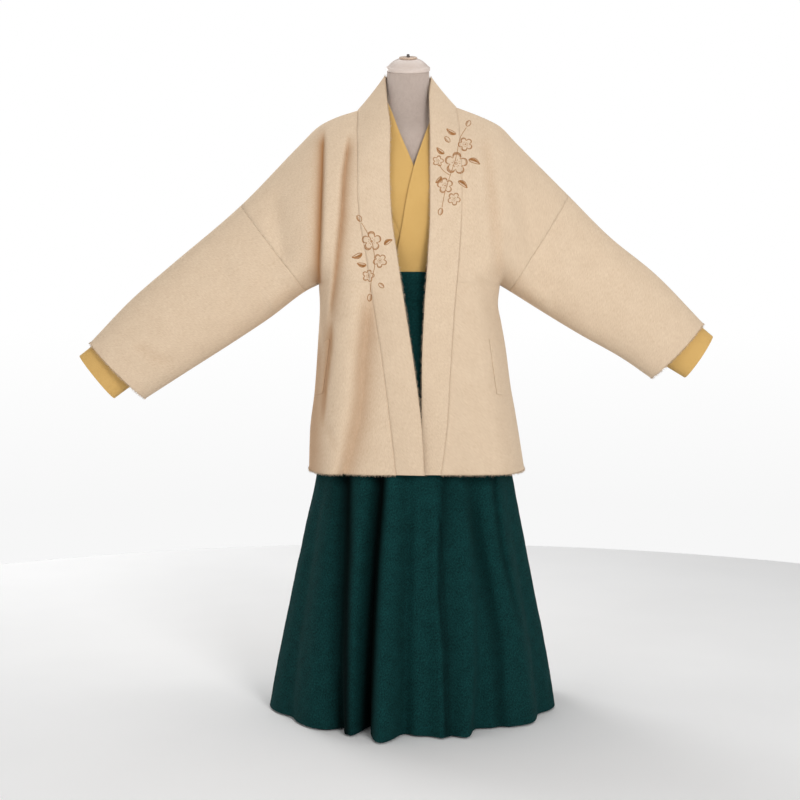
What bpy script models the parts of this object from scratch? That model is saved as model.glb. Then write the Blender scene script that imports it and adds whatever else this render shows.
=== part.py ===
"""Hanfu skirt set on a limbless dress form: an open wool coat with a broad collar band,
a crossed-collar shirt and a long flared wool skirt with a waistband and a sash.

Metres, +Z up, the wearer faces -Y.  The origin is on the floor under the middle of the
form.  RIGHT is the wearer's right (-X) and LEFT the wearer's left (+X); side tables give x
as a distance towards their own side.
"""
import math

import bpy
import numpy as np

MM = 0.001
RIGHT, LEFT = -1, 1
FRONT, BACK = -1, 1

COAT_WALL = 3.0 * MM
SHIRT_WALL = 1.2 * MM
SKIRT_WALL = 2.0 * MM
WELT_WALL = 3.0 * MM
SEAM_DRAW = 0.28 * MM          # each piece stops this far short of the shared seam line
REST_GAP = 0.3 * MM            # between pieces that lie on each other

HEM_Z = 0.537                  # coat hem above the floor
NECK_STEPS = 8                 # facets of both collars round the back of the neck
NECK_DROP = 0.12               # the back neckline loses its own curve this far down

# Coat outline in the front view: the shoulder and the top of the sleeve, out to the cuff.
COAT_TOP = {                   # x, z
    RIGHT: [(0.112, 1.335), (0.156, 1.321), (0.197, 1.301), (0.241, 1.259), (0.374, 1.124),
            (0.541, 0.983), (0.621, 0.914), (0.714, 0.818)],
    LEFT: [(0.107, 1.342), (0.160, 1.322), (0.206, 1.299), (0.237, 1.267), (0.359, 1.146),
           (0.451, 1.055), (0.556, 0.970), (0.663, 0.861)]}
COAT_UNDERARM = {              # x, z
    RIGHT: [(0.200, 0.948), (0.228, 0.934), (0.309, 0.874), (0.381, 0.826), (0.502, 0.749),
            (0.591, 0.692)],
    LEFT: [(0.206, 0.946), (0.226, 0.934), (0.311, 0.881), (0.386, 0.836), (0.479, 0.784),
           (0.547, 0.7375)]}
COAT_SIDE = {                  # x, z
    RIGHT: [(0.200, 0.948), (0.198, 0.900), (0.202, 0.825), (0.210, 0.712), (0.221, 0.619),
            (0.2235, HEM_Z)],
    LEFT: [(0.206, 0.946), (0.202, 0.905), (0.2095, 0.862), (0.2195, 0.806), (0.231, 0.720),
           (0.2425, 0.657), (0.262, HEM_Z)]}
COAT_SHOULDER = {RIGHT: 0.197, LEFT: 0.206}      # x of the rib that drops to the armpit
COAT_DROP = {RIGHT: (0.374, 0.228), LEFT: (0.359, 0.226)}   # sleeve seam: top x, low x

# Collar band of the coat: where its seam and its free edge run, shoulder to hem.
COAT_BAND = {                  # seam x, seam z, edge x, edge z, edge depth
    RIGHT: [(0.112, 1.335, 0.0515, 1.411, 0.000), (0.112, 1.285, 0.046, 1.348, 0.049),
            (0.110, 1.221, 0.039, 1.279, 0.088), (0.1095, 1.153, 0.040, 1.190, 0.116),
            (0.106, 1.097, 0.0375, 1.110, 0.130), (0.091, 1.005, 0.023, 1.000, 0.140),
            (0.076, 0.904, 0.008, 0.900, 0.147), (0.055, 0.772, -0.012, 0.770, 0.160),
            (0.037, 0.631, -0.029, 0.630, 0.179), (0.026, HEM_Z, -0.0345, HEM_Z, 0.196)],
    LEFT: [(0.107, 1.342, 0.0515, 1.408, 0.000), (0.1115, 1.285, 0.046, 1.354, 0.049),
           (0.114, 1.222, 0.047, 1.280, 0.088), (0.115, 1.153, 0.0465, 1.190, 0.116),
           (0.114, 1.097, 0.0465, 1.110, 0.130), (0.109, 1.005, 0.0415, 1.000, 0.139),
           (0.100, 0.904, 0.0345, 0.900, 0.145), (0.091, 0.773, 0.029, 0.770, 0.153),
           (0.082, 0.633, 0.028, 0.630, 0.167), (0.069, HEM_Z, 0.0075, HEM_Z, 0.181)]}
COAT_NECK = {"seam_back": 0.088, "edge_back": 0.055, "seam_rise": 0.006}

# How far the coat stands out from the plane of its side seams.
COAT_BODY_DEPTH = {            # z, depth
    FRONT: [(0.53, 0.186), (0.63, 0.170), (0.77, 0.155), (0.90, 0.142), (1.00, 0.136),
            (1.10, 0.131), (1.15, 0.128), (1.25, 0.118), (1.36, 0.105)],
    BACK: [(0.53, 0.192), (0.65, 0.172), (0.77, 0.152), (0.90, 0.132), (1.00, 0.122),
           (1.15, 0.120), (1.25, 0.116), (1.36, 0.104)]}
COAT_SLEEVE_DEPTH = [(0.20, 0.096), (0.30, 0.080), (0.374, 0.070), (0.52, 0.058), (0.72, 0.047)]
COAT_TOP_REACH = [(0.10, 0.19), (0.22, 0.15), (0.37, 0.118), (0.72, 0.086)]
COAT_LOW_REACH = [(0.10, 0.090), (0.22, 0.090), (0.37, 0.118), (0.72, 0.086)]

# Folds of the coat fronts: a line from high to low, how deep and how wide it is.
COAT_FOLDS = {                 # top x, top z, low x, low z, depth, half width
    RIGHT: [(0.190, 1.285, 0.201, 0.950, 0.017, 0.016), (0.127, 1.259, 0.152, 0.955, 0.011, 0.017),
            (0.152, 0.955, 0.196, 0.775, 0.009, 0.018), (0.091, 0.900, 0.147, 0.560, 0.013, 0.024),
            (0.165, 1.000, 0.178, 0.820, -0.006, 0.014)],
    LEFT: [(0.183, 1.270, 0.202, 0.965, 0.015, 0.015), (0.122, 1.240, 0.148, 1.000, 0.010, 0.015),
           (0.148, 1.000, 0.196, 0.905, 0.008, 0.015), (0.120, 0.860, 0.165, 0.580, 0.009, 0.022),
           (0.108, 0.760, 0.112, 0.560, 0.006, 0.020), (0.205, 0.800, 0.222, 0.570, 0.006, 0.018)]}
COAT_BACK_FOLDS = [            # the same on both sides of the back
    (0.150, 1.260, 0.185, 0.960, 0.012, 0.018), (0.070, 1.000, 0.095, 0.560, 0.010, 0.026),
    (0.150, 0.880, 0.170, 0.560, 0.009, 0.022)]
SLEEVE_FOLDS = {
    RIGHT: [(0.300, 1.170, 0.262, 0.960, 0.007, 0.020), (0.560, 0.900, 0.520, 0.780, 0.004, 0.024)],
    LEFT: [(0.262, 1.180, 0.310, 0.930, 0.008, 0.020), (0.400, 1.060, 0.520, 0.930, -0.004, 0.024)]}
COAT_COLLAR = {"cells": 2, "crown": 1.5 * MM}    # cells across the band, and its soft crown
SHIRT_COLLAR = {"cells": 3, "crown": 0.0}
WELT_ROWS, WELT_COLUMN = (2, 5), 2               # the pocket welt in cells of the front
WELT_SHARES = (0.05, 0.50)     # its two long edges across that column of cells
WELT_GAP = 0.6 * MM            # the front is faceted, so the welt lies a little further off
RIDGE_POWER = 0.8              # how sharply the body folds over at the shoulder line
SLEEVE_MIX = 0.16              # the body's depth passes into the sleeve's over this width
BODY_BELOW_Z, SLEEVE_PAST_X = 0.80, 0.27         # where only the body or the sleeve counts
MIX_RISE, MIX_WIDTH = 0.15, 0.05                 # how far above or past there they blend
RIDGE_SPAN, EDGE_POWER = (0.12, 0.30), 0.5       # the fold-over eases into the sleeve's round
FOLD_REACH, FOLD_FADE, FOLD_END = 1.15, 1.7, 1.5     # how a fold dies out at its two ends
FOLLOW_RISE = 0.05             # the shirt's collar sinks onto the shirt over this height

COAT_GRID = {"wing": 4, "sleeve": 8, "upper": 10, "lower": 8, "shoulder": 4}
SHIRT_GRID = {"wing": 2, "sleeve": 6, "upper": 7, "lower": 4, "shoulder": 2}

# Shirt: the coat rests on its shoulders, and it runs 8 mm inside the coat's sleeves.
SHIRT_INSET = {"shoulder": 4.1 * MM, "sleeve": 8.0 * MM}
SHOULDER_POINTS = 3            # points of the top line that lie on the shoulder
SHIRT_TUCK_Z = 0.915
SHIRT_CUFF = {RIGHT: (0.739, 0.788), LEFT: (0.685, 0.832)}
SHIRT_UNDERARM = {             # x, z
    RIGHT: [(0.166, 1.060), (0.186, 1.042), (0.400, 0.884), (0.6615, 0.692)],
    LEFT: [(0.166, 1.060), (0.186, 1.042), (0.400, 0.876), (0.623, 0.7385)]}
SHIRT_SIDE = [(0.166, 1.060), (0.140, 1.020), (0.1225, 0.985), (0.1205, 0.960),
              (0.1205, SHIRT_TUCK_Z)]
SHIRT_SHOULDER, SHIRT_DROP = 0.170, (0.300, 0.186)
SHIRT_BAND = {                 # seam x, seam z, edge x, edge z, edge depth
    RIGHT: [(0.104, 1.326, 0.064, 1.372, 0.000), (0.104, 1.290, 0.046, 1.347, 0.043),
            (0.092, 1.225, 0.018, 1.274, 0.080), (0.062, 1.150, -0.012, 1.200, 0.103),
            (0.034, 1.090, -0.036, 1.125, 0.112), (0.012, 1.030, -0.056, 1.040, 0.110),
            (0.000, 0.970, -0.064, 0.972, 0.1012), (0.000, SHIRT_TUCK_Z, -0.064, SHIRT_TUCK_Z, 0.1008)],
    LEFT: [(0.100, 1.330, 0.064, 1.368, 0.000), (0.106, 1.270, 0.050, 1.312, 0.056),
           (0.090, 1.190, 0.030, 1.254, 0.088), (0.074, 1.140, 0.012, 1.200, 0.107),
           (0.056, 1.080, -0.003, 1.137, 0.1165), (0.046, 1.020, -0.016, 1.061, 0.117),
           (0.036, 0.970, -0.030, 0.990, 0.1075), (0.030, SHIRT_TUCK_Z, -0.040, SHIRT_TUCK_Z, 0.1035)]}
SHIRT_NECK = {"seam_back": 0.079, "edge_back": 0.062, "seam_rise": 0.004}
SHIRT_BODY_DEPTH = {
    FRONT: [(0.91, 0.1045), (0.975, 0.1045), (1.02, 0.114), (1.07, 0.118), (1.14, 0.118),
            (1.22, 0.106), (1.34, 0.092)],
    BACK: [(0.91, 0.0750), (0.975, 0.0750), (1.04, 0.088), (1.15, 0.106), (1.25, 0.103),
           (1.34, 0.090)]}
SHIRT_SLEEVE_DEPTH = [(0.17, 0.085), (0.28, 0.064), (0.37, 0.052), (0.52, 0.040), (0.75, 0.029)]
SHIRT_TOP_REACH = [(0.10, 0.19), (0.20, 0.12), (0.30, 0.085), (0.74, 0.060)]
SHIRT_LOW_REACH = [(0.10, 0.1205), (0.20, 0.110), (0.30, 0.085), (0.74, 0.060)]
UNDER_LAYER = 5.0 * MM         # the right front lies this much under the left one

# Skirt: half widths to the wearer's right and left, and depths in front and behind.
SKIRT_SECTIONS = [             # z, right, left, front, back
    (0.9115, 0.1245, 0.1245, 0.1085, 0.079), (0.860, 0.146, 0.148, 0.122, 0.105),
    (0.790, 0.166, 0.170, 0.134, 0.128), (0.680, 0.183, 0.196, 0.146, 0.146),
    (0.540, 0.202, 0.229, 0.163, 0.170), (0.400, 0.231, 0.256, 0.195, 0.200),
    (0.250, 0.263, 0.284, 0.235, 0.236), (0.120, 0.289, 0.310, 0.268, 0.264),
    (0.004, 0.310, 0.328, 0.286, 0.286)]
SKIRT_FOLDS = [                # angle at the coat hem, angle at the skirt hem, rise, half width
    (-84, -80, 0.004, 7), (-70, -62, -0.014, 7), (-55, -42, 0.008, 7), (-46, -29.5, -0.016, 3.4),
    (-33, -24, 0.032, 3.2), (-23, -18.6, -0.046, 2.4), (-12, -10, 0.054, 5.4),
    (-0.5, -2.5, -0.016, 3.6), (16, 14.0, 0.026, 3.6), (26, 17.4, -0.006, 1.8),
    (37, 22, 0.030, 4.2), (49, 33, -0.024, 6.0), (61, 54, 0.013, 6.5), (74, 68, -0.012, 5.5),
    (86, 82, 0.006, 6), (104, 102, -0.026, 6), (118, 117, 0.024, 7), (131, 131, -0.030, 5),
    (143, 144, 0.030, 7), (156, 157, -0.034, 5), (169, 170, 0.032, 7), (183, 184, -0.032, 5),
    (196, 197, 0.034, 7), (211, 211, -0.030, 5), (226, 225, 0.026, 7), (240, 239, -0.024, 5),
    (256, 257, 0.012, 6)]
FOLDS_START_Z, FOLDS_OPEN = 0.80, 1.35           # they open from the hip down
SWING_Z = 0.50                 # below here the folds lean towards their place at the hem
LAST_ANGLE = 257               # ribs past this angle count from the other side
SKIRT_FINE, SKIRT_COARSE = 2.25, 4.5             # degrees between ribs, in front and behind
FINE_FROM, FINE_TO = -76.5, 76.5
SKIRT_SEAMS = (-90, 15.75, 94.5, 180)            # angles of the gore seams at the hem
SKIRT_LEVELS = (0.9115, 0.875, 0.820, 0.740, 0.620, 0.490, 0.360, 0.240, 0.120, 0.004)
SKIRT_PARTS = ("skirt_gore_front_right", "skirt_gore_front_left", "skirt_gore_back_left",
               "skirt_gore_back_right")

WAISTBAND = {"low": 0.9120, "high": 0.9720, "grow": 0.0006}
SASH = {"low": 0.9135, "high": 0.9435, "wall": 2.2 * MM, "ripple": 1.2 * MM, "rows": 3,
        "wrinkles": 9, "slant": 2.4}
WAIST_FACETS = 36

# Dress form: sections of the torso and neck.
FORM_SECTIONS = [              # z, half width, front depth, back depth
    (0.680, 0.152, 0.104, 0.112), (0.790, 0.157, 0.118, 0.116), (0.845, 0.136, 0.108, 0.096),
    (0.895, 0.113, 0.094, 0.066), (0.940, 0.111, 0.092, 0.064), (0.985, 0.112, 0.093, 0.066),
    (1.040, 0.124, 0.102, 0.078), (1.110, 0.146, 0.106, 0.092), (1.180, 0.168, 0.098, 0.096),
    (1.235, 0.180, 0.082, 0.088), (1.270, 0.178, 0.069, 0.074), (1.290, 0.162, 0.056, 0.050),
    (1.3074, 0.122, 0.048, 0.043), (1.322, 0.078, 0.045, 0.044), (1.345, 0.059, 0.044, 0.045),
    (1.372, 0.0485, 0.044, 0.045), (1.4225, 0.0455, 0.0455, 0.0455)]
FORM_CLEAR = 4.5 * MM          # the form stays this far inside the shirt
FORM_LEAST = 0.2               # but a section keeps at least this share of its depth
SHIRT_ON_FORM = (0.97, 1.31)   # heights where the shirt lies over the form
NECK_BASE_Z = 1.345            # the cut of the neck tilts from here up
FORM_FACETS = 32
NECK_TILT = math.radians(18)   # the cut of the neck drops towards the front
CAP = {"facets": 24, "rim": 0.0492, "rim_high": 0.007, "top": 0.021, "high": 0.026}
CAP_DISC = {"radius": 0.0200, "high": 0.0035}
CAP_NUB = {"radius": 0.0040, "high": 0.0060}
POLE = {"radius": 0.0125, "facets": 16}
BASE = {"radius": 0.140, "high": 0.012, "facets": 32, "round": 0.003}


def smooth(at, table_x, table_y):
    """Read a smooth curve through a table, with no overshoot between its rows."""
    order = np.argsort(table_x)
    xs, ys = np.asarray(table_x, float)[order], np.asarray(table_y, float)[order]
    at = np.clip(np.asarray(at, float), xs[0], xs[-1])
    steps = np.diff(xs)
    slopes = np.diff(ys) / steps
    bends = np.empty_like(ys)
    bends[0], bends[-1] = slopes[0], slopes[-1]
    pair = slopes[1:] * slopes[:-1]
    bends[1:-1] = np.where(pair > 0, 2 * pair / np.where(pair > 0, slopes[1:] + slopes[:-1], 1), 0)
    cell = np.clip(np.searchsorted(xs, at, side="right") - 1, 0, len(steps) - 1)
    t = (at - xs[cell]) / steps[cell]
    return (ys[cell] * (1 + 2 * t) * (1 - t) ** 2 + steps[cell] * bends[cell] * t * (1 - t) ** 2
            + ys[cell + 1] * t * t * (3 - 2 * t) + steps[cell] * bends[cell + 1] * t * t * (t - 1))


def column(table, *which):
    """Columns of a table of rows."""
    picked = [np.array([row[k] for row in table], float) for k in which]
    return picked[0] if len(picked) == 1 else picked


def line_distance(x, z, line):
    """Distance in the front view from each point to a line through (x, z) points."""
    points = np.stack([np.ravel(x), np.ravel(z)], axis=1)
    starts = np.array(line[:-1], float)
    spans = np.array(line[1:], float) - starts
    gaps = points[:, None, :] - starts[None]
    t = np.clip((gaps * spans).sum(2) / (spans ** 2).sum(1), 0, 1)
    near = np.linalg.norm(gaps - t[..., None] * spans, axis=2).min(axis=1)
    return near.reshape(np.shape(x))


def swell(distance, reach, power):
    """0 at an edge, rising in a round sweep to 1 at the reach."""
    q = np.clip(distance / reach, 0, 1)
    return (1 - (1 - q) ** 2) ** power


def inset(line, amount):
    """A line moved down and in by an amount along its own normals."""
    points = np.array(line, float)
    runs = np.gradient(points, axis=0)
    runs /= np.linalg.norm(runs, axis=1)[:, None]
    return [tuple(p) for p in points + amount * np.stack([runs[:, 1], -runs[:, 0]], axis=1)]


def fold_depth(x, z, folds):
    """Sum of soft troughs along straight lines, each fading out at its two ends."""
    total = np.zeros(np.shape(x))
    for top_x, top_z, low_x, low_z, depth, width in folds:
        run = np.array([low_x - top_x, low_z - top_z])
        length = np.hypot(*run)
        along = ((x - top_x) * run[0] + (z - top_z) * run[1]) / length ** 2
        off = ((x - top_x) * run[1] - (z - top_z) * run[0]) / length
        ends = np.clip(FOLD_REACH - np.abs(along - 0.5) * FOLD_FADE, 0, 1)
        total += depth * np.exp(-(off / width) ** 2) * ends ** FOLD_END
    return total


class Garment:
    """A garment cut in panels: every panel is read from one outline and one depth rule."""

    def __init__(self, top, underarm, side, shoulder, drop, band, neck, body_depth,
                 sleeve_depth, top_reach, low_reach, mix_start, follow_z, grid):
        self.top, self.underarm, self.side = top, underarm, side
        self.shoulder, self.drop, self.band, self.neck = shoulder, drop, band, neck
        self.body_depth, self.sleeve_depth = body_depth, sleeve_depth
        self.top_reach, self.low_reach = top_reach, low_reach
        self.mix_start, self.follow_z, self.grid = mix_start, follow_z, grid
        self.folds = {}
        self.under_layer = {RIGHT: 0.0, LEFT: 0.0}

    def depth(self, side, face, x, z):
        """How far the cloth stands from the plane of the side seams at (x, z)."""
        across = np.abs(x)
        body = smooth(z, *column(self.body_depth[face], 0, 1))
        sleeve = smooth(across, *column(self.sleeve_depth, 0, 1))
        above = np.clip((z - BODY_BELOW_Z) / MIX_RISE, 0, 1)
        mix = (np.clip((across - self.mix_start) / SLEEVE_MIX, 0, 1)
               * np.maximum(above, np.clip((across - SLEEVE_PAST_X) / MIX_WIDTH, 0, 1)))
        mix = mix * mix * (3 - 2 * mix)
        full = body * (1 - mix) + sleeve * mix
        if face == FRONT:
            full = full - self.under_layer[side]
        out = smooth(across, *column(self.top_reach, 0, 1))
        power = np.interp(across, RIDGE_SPAN, (RIDGE_POWER, EDGE_POWER))
        high = swell(line_distance(across, z, self.top[side]), out, power)
        low_line = self.side[side][::-1] + self.underarm[side][1:]
        low_out = smooth(across, *column(self.low_reach, 0, 1))
        low = swell(line_distance(across, z, low_line), low_out, EDGE_POWER)
        folds = fold_depth(across, z, self.folds.get((side, face), [])) * np.minimum(high, low)
        edge = self.neck_edge(side, across, z) if face == BACK else 0.0
        return edge + (full - edge) * high * low - folds

    def neck_edge(self, side, across, z):
        """Depth of the back neckline, where the collar is sewn on."""
        width, top_z = self.top[side][0]
        share = np.clip(1 - (top_z - z) / NECK_DROP, 0, 1)
        return share * self.neck["seam_back"] * np.sqrt(np.clip(1 - (across / width) ** 2, 0, 1))

    def upper_shares(self):
        """Row positions from the shoulder line to the underarm, closer at both edges."""
        steps = self.grid["upper"]
        return (1 - np.cos(np.pi * np.arange(steps + 1) / steps)) / 2

    def lower_shares(self):
        """Row positions from the armpit to the hem."""
        return np.arange(1, self.grid["lower"] + 1) / self.grid["lower"]

    def along(self, line, xs):
        """z on an outline at the given x."""
        return smooth(xs, *column(line, 0, 1))

    def rib(self, side, top_point, low_point):
        """One rib of a wing or sleeve, straight in the front view."""
        share = self.upper_shares()[:, None]
        return np.array(top_point) * (1 - share) + np.array(low_point) * share

    def outer_rib(self, side):
        """The rib that bounds the body: shoulder, armpit, then the side seam to the hem."""
        top_x = self.shoulder[side]
        upper = self.rib(side, (top_x, self.along(self.top[side], top_x)), self.side[side][0])
        xs, zs = column(self.side[side], 0, 1)
        z = zs[0] + (zs[-1] - zs[0]) * self.lower_shares()
        return np.vstack([upper, np.stack([smooth(z, zs, xs), z], axis=1)])

    def inner_rib(self, side, face, hem_z):
        """The rib at the collar seam in front, or at the middle of the back."""
        seam_x, seam_z = column(self.band[side], 0, 1)
        level = self.side[side][0][1]
        top_z = seam_z[0] if face == FRONT else seam_z[0] + self.neck["seam_rise"]
        z = top_z + (level - top_z) * self.upper_shares()
        z = np.append(z, level + (hem_z - level) * self.lower_shares())
        x = smooth(z, seam_z, seam_x) if face == FRONT else np.zeros(len(z))
        return np.stack([x, z], axis=1)

    def body_ribs(self, side, face):
        """All ribs from the collar seam or the middle of the back out to the side seam."""
        last = self.outer_rib(side)
        first = self.inner_rib(side, face, last[-1, 1])
        width, base_z = self.top[side][0]
        out = np.linspace(width, last[0, 0], self.grid["shoulder"] + 1)
        shoulder = np.stack([out, np.interp(out, *column(self.top[side], 0, 1))], axis=1)
        if face == FRONT:
            tops = np.repeat(shoulder, 2, axis=0)[:-1]
            tops[1::2] = (shoulder[1:] + shoulder[:-1]) / 2
        else:
            turn = np.arange(NECK_STEPS // 2) * np.pi / NECK_STEPS
            neck = np.stack([width * np.sin(turn),
                             base_z + self.neck["seam_rise"] * np.cos(turn)], axis=1)
            tops = np.vstack([neck, shoulder])
        shares = np.sin(np.arange(len(tops)) / (len(tops) - 1) * np.pi / 2)
        ribs = []
        fade = 1 - np.append(self.upper_shares(), np.ones(self.grid["lower"]))
        for share, top in zip(shares, tops):
            rib = first * (1 - share) + last * share
            rib += (top - rib[0]) * fade[:, None] ** 1.5
            ribs.append(rib)
        return ribs

    def wing_ribs(self, side):
        """Ribs from the armpit rib out to the sleeve seam."""
        count = self.grid["wing"]
        tops = np.linspace(self.shoulder[side], self.drop[side][0], count + 1)[1:]
        lows = np.linspace(self.side[side][0][0], self.drop[side][1], count + 1)[1:]
        return self.outer_ribs(side, tops, lows)

    def sleeve_ribs(self, side):
        """Ribs from the sleeve seam to the cuff."""
        count = self.grid["sleeve"]
        tops = np.linspace(self.drop[side][0], self.top[side][-1][0], count + 1)
        lows = np.linspace(self.drop[side][1], self.underarm[side][-1][0], count + 1)
        return self.outer_ribs(side, tops, lows)

    def outer_ribs(self, side, tops, lows):
        """Ribs between the sleeve's top line and the underarm line."""
        return [self.rib(side, (t, np.interp(t, *column(self.top[side], 0, 1))),
                         (u, np.interp(u, *column(self.underarm[side], 0, 1))))
                for t, u in zip(tops, lows)]

    def lift(self, side, face, ribs):
        """Points in space for ribs of the front view: rows run down, columns run out."""
        flat = np.stack(ribs, axis=1)
        x, z = flat[..., 0], flat[..., 1]
        y = face * self.depth(side, face, x, z)
        on_neck = (face == BACK) & (x[0] < self.top[side][0][0] - 1e-6)
        y[0] = np.where(on_neck, y[0], 0.0)
        return np.stack([side * x, y, z], axis=2)

    def close_underarm(self, block):
        """Set the underarm row of a wing or sleeve on the plane of the side seams."""
        block[self.grid["upper"], :, 1] = 0.0
        return block

    def wing_block(self, side, face):
        """Wing points with rows below the armpit filled from the last one, unused."""
        block = self.close_underarm(self.lift(side, face, self.wing_ribs(side)))
        return np.concatenate([block, np.repeat(block[-1:], self.grid["lower"], axis=0)])

    def panel(self, side, face):
        """A front, or one half of the back: its points and which cells are cloth."""
        body = self.lift(side, face, self.body_ribs(side, face))
        body[self.grid["upper"]:, -1, 1] = 0.0
        points = np.concatenate([body, self.wing_block(side, face)], axis=1)
        live = np.ones((points.shape[0] - 1, points.shape[1] - 1), bool)
        live[self.grid["upper"]:, body.shape[1] - 1:] = False
        return points, live

    def front(self, side):
        """Front panel from the collar seam to the sleeve seam."""
        return self.panel(side, FRONT)

    def back(self):
        """Back panel from sleeve seam to sleeve seam."""
        right, right_live = self.panel(RIGHT, BACK)
        left, left_live = self.panel(LEFT, BACK)
        middle = (right[:, 0] + left[:, 0]) / 2
        points = np.concatenate([right[:, :0:-1], middle[:, None], left[:, 1:]], axis=1)
        return points, np.concatenate([right_live[:, ::-1], left_live], axis=1)

    def sleeve(self, side):
        """Sleeve tube: rows run right round it, columns run out to the cuff."""
        ribs = self.sleeve_ribs(side)
        front = self.close_underarm(self.lift(side, FRONT, ribs))
        back = self.close_underarm(self.lift(side, BACK, ribs))
        points = np.concatenate([front, back[-2:0:-1]])
        return points, np.ones((points.shape[0], points.shape[1] - 1), bool)

    def collar_half(self, side, seam):
        """Seam and free edge of the collar from the shoulder down to the hem."""
        seam_z = column(self.band[side], 1)
        edge = [smooth(seam[:, 2], seam_z, column(self.band[side], k)) for k in (2, 3, 4)]
        return np.stack([side * edge[0], -edge[2], edge[1]], axis=1)

    def collar(self, fronts, cells, crown):
        """Collar band: up one front, round the neck and down the other."""
        seams = {side: fronts[side][0][:, 0] for side in (RIGHT, LEFT)}
        edges = {side: self.collar_half(side, seams[side]) for side in (RIGHT, LEFT)}
        turn = np.arange(1, NECK_STEPS) * np.pi / NECK_STEPS
        share = turn / np.pi
        round_back = []
        for ends, back, rise in ((seams, "seam_back", self.neck["seam_rise"]),
                                 (edges, "edge_back", 0.0)):
            start, stop = ends[RIGHT][0], ends[LEFT][0]
            width = np.where(turn < np.pi / 2, -start[0], stop[0])
            round_back.append(np.stack([
                -width * np.cos(turn), self.neck[back] * np.sin(turn),
                start[2] + (stop[2] - start[2]) * share + rise * np.sin(turn)], axis=1))
        seam = np.vstack([seams[RIGHT][::-1], round_back[0], seams[LEFT]])
        edge = np.vstack([edges[RIGHT][::-1], round_back[1], edges[LEFT]])
        shares = np.linspace(0, 1, cells + 1)[None, :, None]
        points = seam[:, None] * (1 - shares) + edge[:, None] * shares
        out = np.cross(np.gradient(seam, axis=0), edge - seam)
        out /= np.linalg.norm(out, axis=1)[:, None]
        points += out[:, None] * crown * 4 * shares * (1 - shares)
        for side in (RIGHT, LEFT):
            mine = np.zeros(len(seam), bool)
            mine[:len(seams[RIGHT])] = side == RIGHT
            mine[-len(seams[LEFT]):] = side == LEFT
            part = points[mine]
            sunk = -self.depth(side, FRONT, np.abs(part[..., 0]), part[..., 2])
            share = np.clip((self.follow_z - part[..., 2]) / FOLLOW_RISE, 0, 1)
            part[..., 1] += (sunk - part[..., 1]) * share
            points[mine] = part
        return points, np.ones((points.shape[0] - 1, cells), bool)


def snap_neck(garment, back_points, collar_points):
    """Lay the middle of the back's top row exactly on the collar's seam line."""
    steps = NECK_STEPS
    rows = (collar_points.shape[0] - (steps - 1)) // 2
    middle = back_points.shape[1] // 2
    back_points[0, middle - steps // 2:middle + steps // 2 + 1] = \
        collar_points[rows - 1:rows + steps, 0]


def shared_normals(grids):
    """Outward normals of all the outer grids, common to the pieces that share a seam.

    On the plane of the side seams, where a front meets the back, they lie in that plane.
    """
    total = {}
    keys = {}
    for name, (points, live) in grids.items():
        wrap = live.shape[0] == points.shape[0]
        rows, cols = np.nonzero(live)
        below = (rows + 1) % points.shape[0] if wrap else rows + 1
        a, b = points[rows, cols], points[rows, cols + 1]
        c, d = points[below, cols + 1], points[below, cols]
        normal = np.cross(c - a, d - b)
        keys[name] = np.round(points * 2e4).astype(np.int64)
        for r, k in ((rows, cols), (rows, cols + 1), (below, cols + 1), (below, cols)):
            for row, col, n in zip(r, k, normal):
                key = tuple(keys[name][row, col])
                total[key] = total.get(key, 0) + n
    result = {}
    for name, (points, live) in grids.items():
        flat = [total.get(tuple(key), np.zeros(3)) for key in keys[name].reshape(-1, 3)]
        sums = np.array(flat).reshape(points.shape)
        sums[np.abs(points[..., 1]) < 1e-7, 1] = 0.0
        size = np.linalg.norm(sums, axis=2, keepdims=True)
        result[name] = sums / np.where(size > 0, size, 1)
    return result


def corner_cells(live, wrap):
    """For each grid point, which of its four cells are cloth: above-left to below-right."""
    rows, cols = live.shape
    points = rows if wrap else rows + 1
    full = np.zeros((points + 1, cols + 2), bool)
    full[1:rows + 1, 1:cols + 1] = live
    if wrap:
        full[0, 1:cols + 1] = live[-1]
    return (full[:points, :-1], full[:points, 1:],
            full[1:points + 1, :-1], full[1:points + 1, 1:])


def draw_in(points, live, amount):
    """Pull the rim of a piece in along the cloth, so that it stops short of its seams."""
    wrap = live.shape[0] == points.shape[0]
    up_left, up_right, low_left, low_right = corner_cells(live, wrap)
    moved = points.copy()
    last_row, last_col = points.shape[0] - 1, points.shape[1] - 1
    for row in range(points.shape[0]):
        for col in range(points.shape[1]):
            corner = [grid[row, col] for grid in (up_left, up_right, low_left, low_right)]
            if all(corner) or not any(corner):
                continue
            left, right = corner[0] or corner[2], corner[1] or corner[3]
            above, below = corner[0] or corner[1], corner[2] or corner[3]
            inner_turn = sum(corner) == 3
            steps = []
            if right and (not left or inner_turn and not corner[0] or inner_turn and not corner[2]):
                steps.append((row, min(col + 1, last_col)))
            if left and (not right or inner_turn and not corner[1] or inner_turn and not corner[3]):
                steps.append((row, max(col - 1, 0)))
            if below and (not above or inner_turn and not corner[0] or inner_turn and not corner[1]):
                steps.append((min(row + 1, last_row), col))
            if above and (not below or inner_turn and not corner[2] or inner_turn and not corner[3]):
                steps.append((max(row - 1, 0), col))
            for target in steps:
                run = points[target] - points[row, col]
                moved[row, col] += run / max(np.linalg.norm(run), 1e-9) * amount
    return moved


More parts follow.
